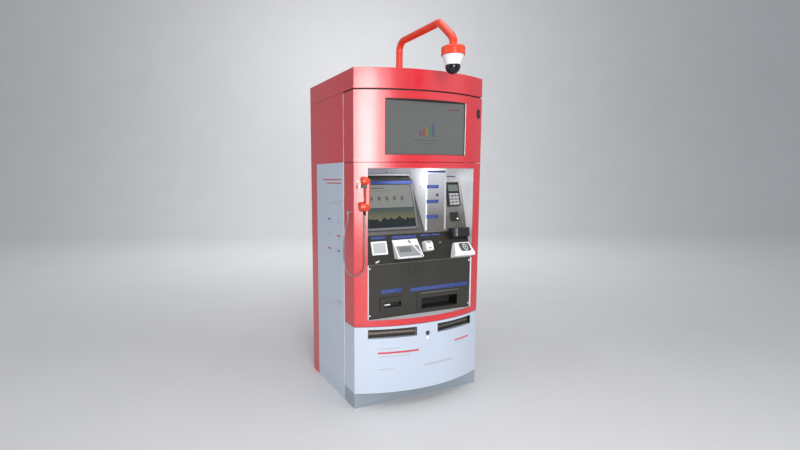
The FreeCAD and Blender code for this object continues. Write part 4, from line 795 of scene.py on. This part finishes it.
# Painted reflection: a small beige patch on the shelf, the card pad mirrored in the steel.
reflection_place = shelf @ shift(-304, 17, 0) @ spin(18, "Z")
block("shelf_reflection", ((-14, 14), (-4.5, 4.5), (0, 0.4)), beige_reflection, reflection_place, 0.1, corner=2)
fitting("column_sensor", [(10, 0), (10, 1.2), (8.6, 1.4)], lens, column @ shift(145, 1278, -0.6))
fitting("column_side_sensor", [(4, 0), (4, 1.5), (3, 1.9)], black, shift(60, -245, 1330) @ spin(-90, "Y"),
        sides=24)
# Painted highlight: a paler steel line along the shelf's fold.
block("shelf_fold_highlight", ((-378, 378), (-372.4, -371.6), (876, 878.6)), tray_steel, edge=0.2)
for side, left in (("left", -379.6), ("right", 368.6)):
    block(f"panel_trim_{side}", ((left, left + 11), (-378.4, -372.2), (548, 876)), white_coat, edge=0.5)

# %% [markdown]
# ## Header
# A narrow steel band closes the alcove above the display. A dark joint line runs along it, with a
# pale bead under the line, and the tiny eye of a second camera looks out of it. Line and bead
# are thin plates laid on the band, so that their edges catch the light as real ones do.

# %% Header
block("header_band", ((-378, 57), (1400, 1444), (-17, 4)), band_steel, header, 0.5)
block("header_joint", ((-376, 56), (1415, 1418), (3.9, 4.4)), seal, header, 0.1)
block("header_bead", ((-376, 56), (1402, 1411), (3.8, 5.2)), pale_key, header, 0.5)
fitting("header_camera", [(4, 0), (4, 2.5), (3, 3.2)], black, header @ shift(-118, 1423, 4), sides=24)
print("header pieces ready")

# %% [markdown]
# ## Touch display
# A wedge-shaped housing stands on the leaning panel, so that its screen faces the user. The glass
# is one flat pane. Its picture is laid out in the finish by masks: a pale page with two lines and
# a row of tiles above, and a dusk landscape below, whose hills are one noise read along X.

# %% Touch display
PAGE_FOOT = 1.206


def page_picture():
    """The lit page of the touch display: across is X, and up is the height in metres."""
    finish = Finish("touch_display_page", (0.01, 0.01, 0.011), 0.3, Emission_Strength=0.5,
                    Specular_IOR_Level=0.2)
    across, height = finish.axis("X"), finish.axis("Z")
    page = finish.blend((0.42, 0.44, 0.40, 1), (0.50, 0.51, 0.47, 1), finish.noise(4, 2))
    rows = [(-0.312, -0.196, 1.3215, 1.3265, (0.10, 0.11, 0.13, 1)),
            (-0.312, -0.150, 1.306, 1.3085, (0.22, 0.23, 0.24, 1))]
    for number in range(5):
        left = -0.300 + 0.054 * number
        rows.append((left, left + 0.022, 1.251, 1.273, (0.20, 0.21, 0.23, 1)))
        rows.append((left + 0.002, left + 0.020, 1.242, 1.2445, (0.26, 0.27, 0.28, 1)))
    page = bars(finish, across, height, page, rows)
    sky = finish.blend((0.36, 0.33, 0.14, 1), (0.06, 0.12, 0.15, 1), (height - 1.12) * 11)
    hill = finish.noise(1.0, 5, finish.stretched(22, 0, 0)) * 0.11
    land = finish.blend(sky, (0.012, 0.022, 0.028, 1), height < hill + 1.085)
    finish.set("Emission Color", finish.blend(land, page, height > PAGE_FOOT))
    return finish


page = page_picture()
SLOTS[page] = "screen_plastic"
softened("touch_display", "display_housing", steel, 1.2)
block("display_glass", ((-337, -1), (45, 311), (-1.4, -0.6)), page, screen, 0.2)
block("display_strip", ((-352, 14), (316, 336), (0, 0.4)), label_blue, screen, 0.1)
for side, across, along in (("right", (2.5, 15), (30, 314)), ("left", (-354, -339.5), (30, 314)),
                            ("low", (-338, 0), (28, 43))):
    block(f"display_bezel_{side}", (across, along, (0, 0.6)), bezel, screen, 0.2)
print("display ready")

# %% [markdown]
# ## Shelf devices
# From left to right the shelf carries a contactless card pad, a tilted signature pad with its
# pen, a chip reader and a fingerprint scanner. All four are white moulded cases with dark or grey
# faces. Moulded cases have larger radii than sheet metal. The pen and its knob are turned about
# one line, which points out of its cup.

# %% Card pad and signature pad
softened("card_pad", "card_pad_case", white, 1.8, 3)
block("card_pad_face", ((-323.5, -238.5), (66.5, 128.5), (6.9, 7.6)), pale_key, shelf, 0.2, corner=3)
softened("signature_pad", "signature_case", white, 1.2, 3)
block("signature_face", ((-177, -18), (7, 84), (0, 0.5)), grey, signature, 0.15, corner=4)
block("signature_lcd", ((-162, -78), (38, 76), (0.4, 0.9)), lcd, signature, 0.15, corner=2)
block("signature_rule", ((-150, -92), (50, 51.2), (0.85, 1.05)), icon_ink, signature, 0.05)
BARREL = [(1.4, 0.1), (2.6, 3), (3.6, 11), (3.9, 24), (3.9, 60), (3.5, 63), (3.9, 66), (3.9, 104)]
KNOB = [(3.9, 104.2), (3.9, 119), (3.4, 123), (1.8, 124.8)]
pen_place = signature @ Matrix.Translation(PEN_TAIL) @ spin(25.6, "Z") @ spin(-90, "X")
fitting("pen_barrel", BARREL, white, pen_place, "stylus_body", edge=0.2, stands_for=("stylus",))
fitting("pen_knob", KNOB, black, pen_place, "stylus_body", edge=0.3)

# %% Chip reader and fingerprint scanner
softened("chip_reader", "chip_reader_case", white, 2.2, 4)
block("chip_reader_slot", ((28.2, 67.8), (57.6, 80.6), (15.1, 17.9)), black, shelf, 0.1)
slope = shelf @ shift(48, 109, 37) @ spin(-37.9, "X")
block("chip_reader_top", ((-17, 17), (-8, 8), (-0.3, 0.5)), grey, slope, 0.3, corner=2.5)
block("chip_reader_mouth", ((36, 60), (68, 74), (44.8, 46.1)), black, shelf, 0.3, corner=1.2)
softened("fingerprint_scanner", "fingerprint_case", white, 4.0, 5)
platen = shelf @ shift(0, 57.5, 43) @ spin(-24.4, "X")
block("fingerprint_deck", ((270, 350), (-27, 33), (-1.5, 0.7)), dark_grey, platen, 0.5, corner=14)


def oval(name, longer, rings, finish, place, **ties):
    """An oval fitting: a turned piece, stretched along its second direction."""
    piece = turned(rings, 40)
    piece.data.transform(Matrix.Diagonal((1, longer, 1, 1)))
    round_edges(piece, 0.2)
    return settle(piece, name, finish, place, **ties)


OVAL = 1.35
finger = platen @ shift(312, 3, 0)
oval("fingerprint_rim", OVAL, [(17, 0.5), (17, 2.4), (16, 3.0), (14, 3.0), (13.4, 1.6)], white, finger)
oval("fingerprint_platen", OVAL, [(13.2, 0.6), (13.2, 1.9), (12.4, 2.1)], lens, finger)
oval("fingerprint_glow", OVAL, [(6.5, 2.0), (6.5, 2.2), (6.0, 2.3)], pale_key, finger)
print("shelf devices ready")

# %% [markdown]
# ## Terminal, scanner window and document reader
# The payment terminal is a grained black case with a sunk display and twelve keys, each on its
# own stem in a hole, so each key is a body of its own. The key tops carry plain numbers. Text in
# Blender is a curve, so each number is extruded a little and made a mesh.

# %% Payment terminal
softened("pin_pad", "terminal_case", black, 2.0, 4)
block("terminal_lcd", ((259, 334), (256, 298), (18.9, 19.5)), lcd, device, 0.15, corner=1.5)
block("terminal_lcd_rule", ((268, 306), (284, 286.5), (19.4, 19.6)), icon_ink, device, 0.05)
block("terminal_lcd_bar", ((268, 320), (272, 274), (19.4, 19.6)), icon_ink, device, 0.05)
CASE_TOP, RECESS, TRAVEL, GAP, KEY_HEIGHT = 20, 6, 1.5, 0.7, 5.5
KEY_TOP = CASE_TOP - RECESS + TRAVEL + GAP + KEY_HEIGHT
KEY_PLACE, KEY_PITCH = (270.5, 174), (26, 20)
KEY_ROWS = (("cancel", "0", "enter"), ("7", "8", "9"), ("4", "5", "6"), ("1", "2", "3"))
NUMBER_SIZE, NUMBER_DEPTH = 9.5, 0.08


def key_number(digit, place):
    """One raised number on a key top."""
    deselect()
    bpy.ops.object.text_add()
    piece = bpy.context.object
    piece.data.body = digit
    piece.data.size = NUMBER_SIZE * MM
    piece.data.extrude = NUMBER_DEPTH * MM
    piece.data.align_x = "CENTER"
    piece.data.align_y = "CENTER"
    choose(piece)
    bpy.ops.object.convert(target="MESH")
    return settle(piece, f"number_{digit}", icon_ink, place @ shift(0, 0, 0.02), f"button_{digit}")


for row, names in enumerate(KEY_ROWS):
    for number, name in enumerate(names):
        across, along = KEY_PLACE[0] + KEY_PITCH[0] * number, KEY_PLACE[1] + KEY_PITCH[1] * row
        top = device @ shift(across, along, KEY_TOP)
        cap = solid(((-11, 11), (-7.5, 7.5), (-KEY_HEIGHT, 0)), 2)
        round_edges(cap, 1.0, 3)
        settle(cap, f"key_cap_{name}", pale_key, top, f"button_{name}", (f"key_{name}",))
        if name.isdigit():
            key_number(name, top)
        else:
            block(f"key_stripe_{name}", ((-7, 7), (-2.2, 2.2), (-0.1, 0.25)),
                  cancel_key if name == "cancel" else enter_key, top, 0.1, corner=1.5, body=f"button_{name}")

# %% Scanner window and document reader
softened("barcode_scanner", "scanner_frame", black, 0.8, 3)
block("scanner_glass", ((268, 320), (68, 114), (4.4, 4.9)), black, device, 0.15)
# Painted highlight: a small glowing patch as the glint on the scanner's glass.
block("scanner_glint", ((311, 317), (74, 81), (4.8, 5.4)), glint_glow, device, 0.2, corner=2.5)
softened("document_reader", "reader_case", black, 3.0, 4)
reader_front = panel(-367.7, 1013.3, 4.3)
block("reader_glass", ((276, 360), (8, 47), (-0.3, 0.6)), black, reader_front, 0.3, corner=2)
for side, left in (("left", 258), ("right", 268)):
    block(f"reader_guide_{side}", ((left, left + 3.5), (2, 52), (-0.3, 1.0)), bright, reader_front, 0.3)
print("terminal and scanners ready")

# %% [markdown]
# ## Card slot and cash tray
# Both are let into the lower panel. A thin steel rim stands round each mouth, and the inside is
# black: the card slot is black plastic, and the cash tray is lined with black plates of painted
# shade. A white lip in the card mouth and a paler strip on the tray's top edge are painted
# highlights. A rim is a plate with a hole, cut by a boolean, because its inner corners are as
# sharp as the punched sheet.

# %% Card slot and cash tray
def pierce(piece, spans):
    """Cut a square hole."""
    cutter = solid(spans)
    modify(piece, "BOOLEAN", operation="DIFFERENCE", object=cutter, solver="EXACT")
    bpy.data.objects.remove(cutter)


def rim(name, outer, inner, out, finish, place, **ties):
    piece = solid((*outer, out))
    pierce(piece, (*inner, (out[0] - 5, out[1] + 5)))
    round_edges(piece, 0.35)
    return settle(piece, name, finish, place, **ties)


softened("card_slot", "card_reader_body", black, 0.5)
rim("card_rim", ((-287, -141), (596, 671)), ((-263, -146), (610, 642)), (3.6, 4.6), steel, upright)
block("card_mouth_back", ((-262, -147), (611, 641), (-15.9, -15.2)), seal, upright, 0.1)
# Painted highlight: a white lip in the black mouth as its glint.
block("card_mouth_glint", ((-252, -216), (619, 627), (-15.4, -9)), white, upright, 0.6, corner=2)
block("card_shade", ((-262, -148), (652, 655), (4.5, 5.0)), seal, upright, 0.1)
softened("cash_tray", "cash_tray_body", steel, 0.6)
softened("cash_shutter", "cash_shutter_blade", tray_steel, 0.3)
rim("tray_rim", ((-6, 280), (570, 650)), ((0.5, 271.5), (574, 642)), (2.6, 3.6), steel, upright)
# Painted highlight: a paler steel strip along the tray's top edge.
block("tray_top_highlight", ((-6, 280), (672, 677), (2.6, 4.2)), tray_steel, upright, 0.4)
# Painted shade: black plates line the steel tray's back, floor and roof.
for side, along, depth in (("back", (574, 642), (-87.5, -86.5)), ("floor", (573.6, 574.6), (-86, -9.5)),
                           ("roof", (641.0, 641.9), (-86, -9.5))):
    block(f"tray_{side}", ((2.5, 269.5), along, depth), seal, upright, 0.1)
print("slot and tray ready")

# %% [markdown]
# ## Camera
# The arm is one bent tube in gloss enamel, welded to a round foot on the cap. The camera hangs
# from its end: a red collar, a white tapered ring, and a smoked dome that nearly hides the eye in
# its yoke. The eye pans and tilts, so its glass rides on the eye's own body.

# %% Camera arm and dome
softened("camera_arm", "bent_arm", red_gloss, 0.5)
softened("camera_collar", "camera_collar_cap", red_gloss, 0.8, 3)
softened("camera_housing", "camera_white_ring", white, 0.5)
softened("camera_dome", "camera_dome_shell", smoked, 0.2)
softened("camera_yoke", "eye_yoke", black, 0.3)
softened("camera_eye", "eye_barrel", black, 0.5)
EYE_GLASS = [(10.8, -2.6), (10.8, -1.2), (9, -0.6), (5, -0.1)]
smooth(fitting("eye_glass", EYE_GLASS, lens, shift(0, -676, 1974) @ outward, "camera_head", 40))
fitting("housing_seam", [(58.4, 2034.2), (58.4, 2034.9)], seal, shift(0, -650, 0), sides=64, edge=0.1)
for number, angle in enumerate((30, 150, 270)):
    turn = math.radians(angle)
    fitting(f"arm_foot_bolt_{number}", [(3.2, 6), (3.2, 7.6), (2.2, 8.4)], bright,
            shift(42 * math.cos(turn), 42 * math.sin(turn) - 85, 2000), sides=6, edge=0.2)
print("camera ready")

# %% [markdown]
# ## Upper door
# The upper door frames a wide sign display. The window's edge is lined with black, thicker at the
# top and right where the lining is painted shade, and has one white strip that is a painted
# highlight; the pane is a grey matrix display. Its picture is a quiet one of plain shapes. A black
# oval plate guards the lock. The lining and a black strip on the plinth, a painted shadow line
# under the lower door, follow the bowed front, so they are cut along its arc by a boolean.

# %% Upper door fittings
def sign_picture():
    finish = Finish("sign_display_page", (0.03, 0.033, 0.035), 0.3, Emission_Strength=0.4,
                    Specular_IOR_Level=0.25)
    across, height = finish.axis("X"), finish.axis("Z")
    base = finish.blend((0.25, 0.265, 0.25, 1), (0.31, 0.325, 0.305, 1), finish.noise(2.5, 3))
    rows = [(-0.095, 0.095, 1.604, 1.608, (0.14, 0.16, 0.16, 1)),
            (-0.060, 0.060, 1.588, 1.591, (0.15, 0.17, 0.17, 1)),
            (0.150, 0.240, 1.786, 1.793, (0.42, 0.05, 0.05, 1))]
    base = bars(finish, across, height, base, rows)
    inks = ((0.42, 0.06, 0.22, 1), (0.60, 0.08, 0.06, 1), (0.62, 0.36, 0.05, 1), (0.12, 0.34, 0.13, 1),
            (0.08, 0.16, 0.42, 1))
    for number, ink in enumerate(inks):
        left, high = -0.045 + 0.022 * number, 1.662 + 0.011 * number
        base = finish.blend(base, ink, across.between(left, left + 0.014) * height.between(1.630, high))
    finish.set("Emission Color", base)
    return finish


sign = sign_picture()
SLOTS[sign] = "screen_plastic"
softened("sign_display", "sign_case", black, 0.6)
block("sign_pane", ((-280.5, 280.5), (-403.0, -401.7), (1519.5, 1833.5)), sign, edge=0.2,
      body="upper_door_leaf")


def trim_to_bow(piece, inset, operation="INTERSECT"):
    """Cut a piece along the front's arc: its near or its far side stays."""
    deselect()
    bpy.ops.mesh.primitive_cylinder_add(vertices=720, radius=(BOW_RADIUS - inset) * MM, depth=5,
                                        location=(0, BOW_CENTRE * MM, 0))
    drum = bpy.context.object
    modify(piece, "BOOLEAN", operation=operation, object=drum, solver="EXACT")
    bpy.data.objects.remove(drum)


# The black lining is a rubber gasket, thicker at the top and right where it is painted shade in the reveal.
lining = solid(((-281, 281), (-452, -403.2), (1519, 1834)))
pierce(lining, ((-278, 275.5), (-460, -390), (1522, 1828)))
trim_to_bow(lining, 1)
round_edges(lining, 0.3)
settle(lining, "window_lining", seal, body="upper_door_leaf")
# Painted shadow: a black strip along the plinth's top stands for the dark line under the lower door.
shadow_line = solid(((-447, 447), (-452, -330), (92.1, 93.6)))
trim_to_bow(shadow_line, 1.2)
trim_to_bow(shadow_line, 13.2, "DIFFERENCE")
round_edges(shadow_line, 0.1)
settle(shadow_line, "sill_shadow_strip", seal)
# Painted highlight: a white strip on the right of the window, the lit side of its reveal.
block("window_reveal_highlight", ((-4.0, 1.8), (0.1, 1.0), (1521, 1833)), white, facing(277.8), 0.2,
      body="upper_door_leaf")
upper_lock_place = facing(410, 1781)
softened("upper_lock", "upper_lock_plug", black, 0.4)
oval("upper_lock_plate", 1.5, [(20, 0.3), (20, 2.2), (18.4, 2.9)], seal, upper_lock_place @ outward,
     body="upper_door_leaf")
block("upper_lock_slot", ((-1, 1), (-3.9, -3.3), (-6, 6)), bright, upper_lock_place, 0.1,
      body="upper_lock_cam")
print("upper door ready")

# %% [markdown]
# ## Handset
# The handset hangs sideways from a forked hook. It is moulded in one piece, so its two cups flow
# into the handle. The mesh is made the same way: a rounded bar and two turned cups are joined,
# and a voxel remesh with a little smoothing melts them into one skin. A ribbed rubber sleeve
# relieves the cord where it leaves the handset.

# %% Handset
CUPS = (("ear", 16, 1369), ("mouth", 4, 1224))


def cup(face, height):
    """One cup, its face towards the hook and its back in the handle."""
    piece = turned([(15.5, face), (20.5, face + 1.6), (24, face + 5.5), (25.8, face + 12), (25.8, 40),
                    (23, 53), (15, 62)])
    piece.data.transform(shift(0, 0, height) @ outward)
    return piece


def handset_shell():
    bar = solid(((-16.2, 16.2), (-68.4, -36.8), (1200, 1393)))
    round_corners(bar, lambda one, other: max(one.y, other.y) < -0.06 and abs(one.x - other.x) > 0.02,
                  23, 8)
    round_edges(bar, 8, 4)
    cups = [cup(face, height) for _, face, height in CUPS]
    choose(bar)
    for part in cups:
        part.select_set(True)
    bpy.ops.object.join()
    modify(bar, "REMESH", mode="VOXEL", voxel_size=1.2 * MM)
    modify(bar, "SMOOTH", factor=0.5, iterations=10)
    choose(bar)
    bpy.ops.object.shade_smooth()
    return settle(bar, "handset_shell", red_plastic, hand, "handset_body", ("handset",))


handset_shell()
for name, face, height in CUPS:
    middle = hand @ shift(0, 0, height)
    fitting(f"{name}_grille", [(15.5, face - 0.6), (15.5, face + 1.4)], red_gloss, middle @ outward,
            "handset_body", 40, 0.5)
    for number in range(7):
        turn = math.radians(60 * number)
        reach = 0 if number == 6 else 8
        place = middle @ shift(reach * math.cos(turn), 0, reach * math.sin(turn)) @ outward
        fitting(f"{name}_hole_{number}", [(1.7, face - 0.8), (1.7, face + 0.6)], seal, place,
                "handset_body", 16)
ribs = [(5.6, 1175.3), (6.4, 1180)]
for low in range(1182, 1202, 4):
    ribs += [(7.2, low), (7.2, low + 2), (6.0, low + 2.6), (6.0, low + 3.6)]
smooth(fitting("cord_relief", ribs, seal, hand @ shift(0, RELIEF, 0), "handset_body"))
softened("handset_cradle", "hook_bracket", red_coat, 1.0, 3)
softened("hook_lever", "forked_hook", black, 0.6)
for number, across in enumerate((-40.5, -27.5)):
    fitting(f"bracket_screw_{number}", [(2.6, 0), (2.6, 1.0), (1.6, 1.6)], bright,
            stile @ shift(across, -4.2, 1367.5) @ outward, "middle_door_leaf", 16, 0.2)
print("handset ready")

# %% [markdown]
# ## Lower door
# Printed sheets come out of two wide slots, each with a swinging flap in a chute. The lock sits
# between them, with a small blank tag of two thin plates under it. The flaps are copies of their
# own solids, because they swing about pins that the solids already have.

# %% Lower door fittings
for side in ("left", "right"):
    # The flap blades carry the painted highlight band.
    softened(f"outlet_flap_{side}", f"{side}_flap_blade", flap_steel, 0.3)
softened("lower_lock", "lower_lock_plug", black, 0.4)
lock_place = facing(0, 443)
block("lower_lock_slot", ((-6, 6), (-3.9, -3.3), (-1, 1)), bright, lock_place, 0.1, body="lower_lock_cam")
tag_place = facing(0, 414)
block("tag_plate", ((-13, 13), (-0.7, 0.1), (-13, 13)), pale_key, tag_place, 0.2, corner=1.5, along=1,
      body="lower_door_leaf")
block("tag_face", ((-10.5, 10.5), (-0.95, -0.6), (-10.5, 10.5)), white, tag_place, 0.1,
      body="lower_door_leaf")
print("lower door ready")

# %% [markdown]
# ## Hang the cords
# Each cord takes its finish: the steel sheath or black rubber. The gland is a copy of its own
# solid with eased edges, and the two tubes take the place of the solid cords.

# %% Hang the cords
handset_cord.data.materials.append(sheathed.material)
tether.data.materials.append(seal.material)
anchor = softened("cord_anchor", "cord_gland", gland, 0.5)
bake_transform(handset_cord)
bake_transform(tether)
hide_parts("handset_cord")
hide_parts("stylus_tether")
print("cords hung")

# %% [markdown]
# ## Floor and light
# The kiosk stands on a plain pale floor that sweeps up into a wall far behind it, in soft studio
# light. The sweep is one plane whose far edge is spun a quarter turn and drawn up. A tall soft
# lamp in front is the main light, and its mirror image is the long pale gleam at the left of the
# bowed front. A dimmer one beside it softens the gleam's edge. Others fill the right, the left
# side and the top, a small one washes the alcove, and an even sky lights the rest.

# %% Floor and light
FLOOR_SIZE, FLOOR_BACK, SWEEP, WALL, FLOOR_TURN = 40, 8, 4, 12, -0.42
SKY, SKY_STRENGTH = (0.90, 0.94, 1.0, 1), 0.46
bpy.ops.mesh.primitive_plane_add(size=FLOOR_SIZE)
floor = bpy.context.object
floor.name = "studio_floor"
floor.data.transform(Matrix.Translation((0, FLOOR_BACK - FLOOR_SIZE / 2, 0)))
pick_edges(floor, lambda one, other: min(one.y, other.y) > FLOOR_BACK - 1)
bpy.ops.mesh.spin(steps=16, angle=math.radians(-90), center=(0, FLOOR_BACK, SWEEP), axis=(1, 0, 0))
bpy.ops.mesh.extrude_region_move(TRANSFORM_OT_translate={"value": (0, 0, WALL)})
enter("OBJECT")
floor.data.transform(Matrix.Rotation(FLOOR_TURN, 4, "Z"))
smooth(floor, 60)
floor_finish = Finish("pale_studio_floor", (0.66, 0.66, 0.67), 0.5)
worn = floor_finish.blend((0.64, 0.64, 0.65, 1), (0.69, 0.69, 0.70, 1), floor_finish.noise(1.5, 4))
floor_finish.set("Base Color", worn)
floor.data.materials.append(floor_finish.material)
world = bpy.data.worlds.new("studio")
bpy.context.scene.world = world
world.use_nodes = True
sky = world.node_tree.nodes["Background"]
sky.inputs["Color"].default_value = SKY
sky.inputs["Strength"].default_value = SKY_STRENGTH


def softbox(name, place, aim, size, power, colour=(1, 1, 1)):
    """A rectangular area lamp that looks at a point."""
    light = bpy.data.lights.new(name, "AREA")
    light.shape = "RECTANGLE"
    light.size, light.size_y = size
    light.energy = power
    light.color = colour
    box = bpy.data.objects.new(name, light)
    bpy.context.scene.collection.objects.link(box)
    box.location = place
    box.rotation_euler = (Vector(aim) - Vector(place)).to_track_quat("-Z", "Y").to_euler()
    return box


KIOSK_FRONT = (-0.2, -0.3, 1.2)


softbox("key_softbox", (-1.64, -4.73, 1.86), KIOSK_FRONT, (1.25, 2.25), 150, (1, 0.99, 0.97))
softbox("glow_softbox", (-0.60, -4.9, 1.86), KIOSK_FRONT, (0.95, 2.25), 30)
softbox("fill_softbox", (4.6, -4.6, 2.6), (0, -0.2, 1.0), (4.0, 4.0), 26)
softbox("side_softbox", (-6.0, 1.5, 2.2), (0, 0, 1.0), (4.0, 4.0), 40)
softbox("top_softbox", (0, -1.0, 4.4), (0, -0.3, 1.0), (3.0, 3.0), 62)
wash = softbox("alcove_wash", (-0.02, -0.34, 1.43), (0.06, -0.17, 1.20), (0.26, 0.05), 0.55)
softbox("backdrop_softbox", (1.6, 3.6, 6.0), (4.2, 9.6, 2.4), (5.0, 3.0), 420)
wash.visible_camera = False
wash.visible_glossy = False
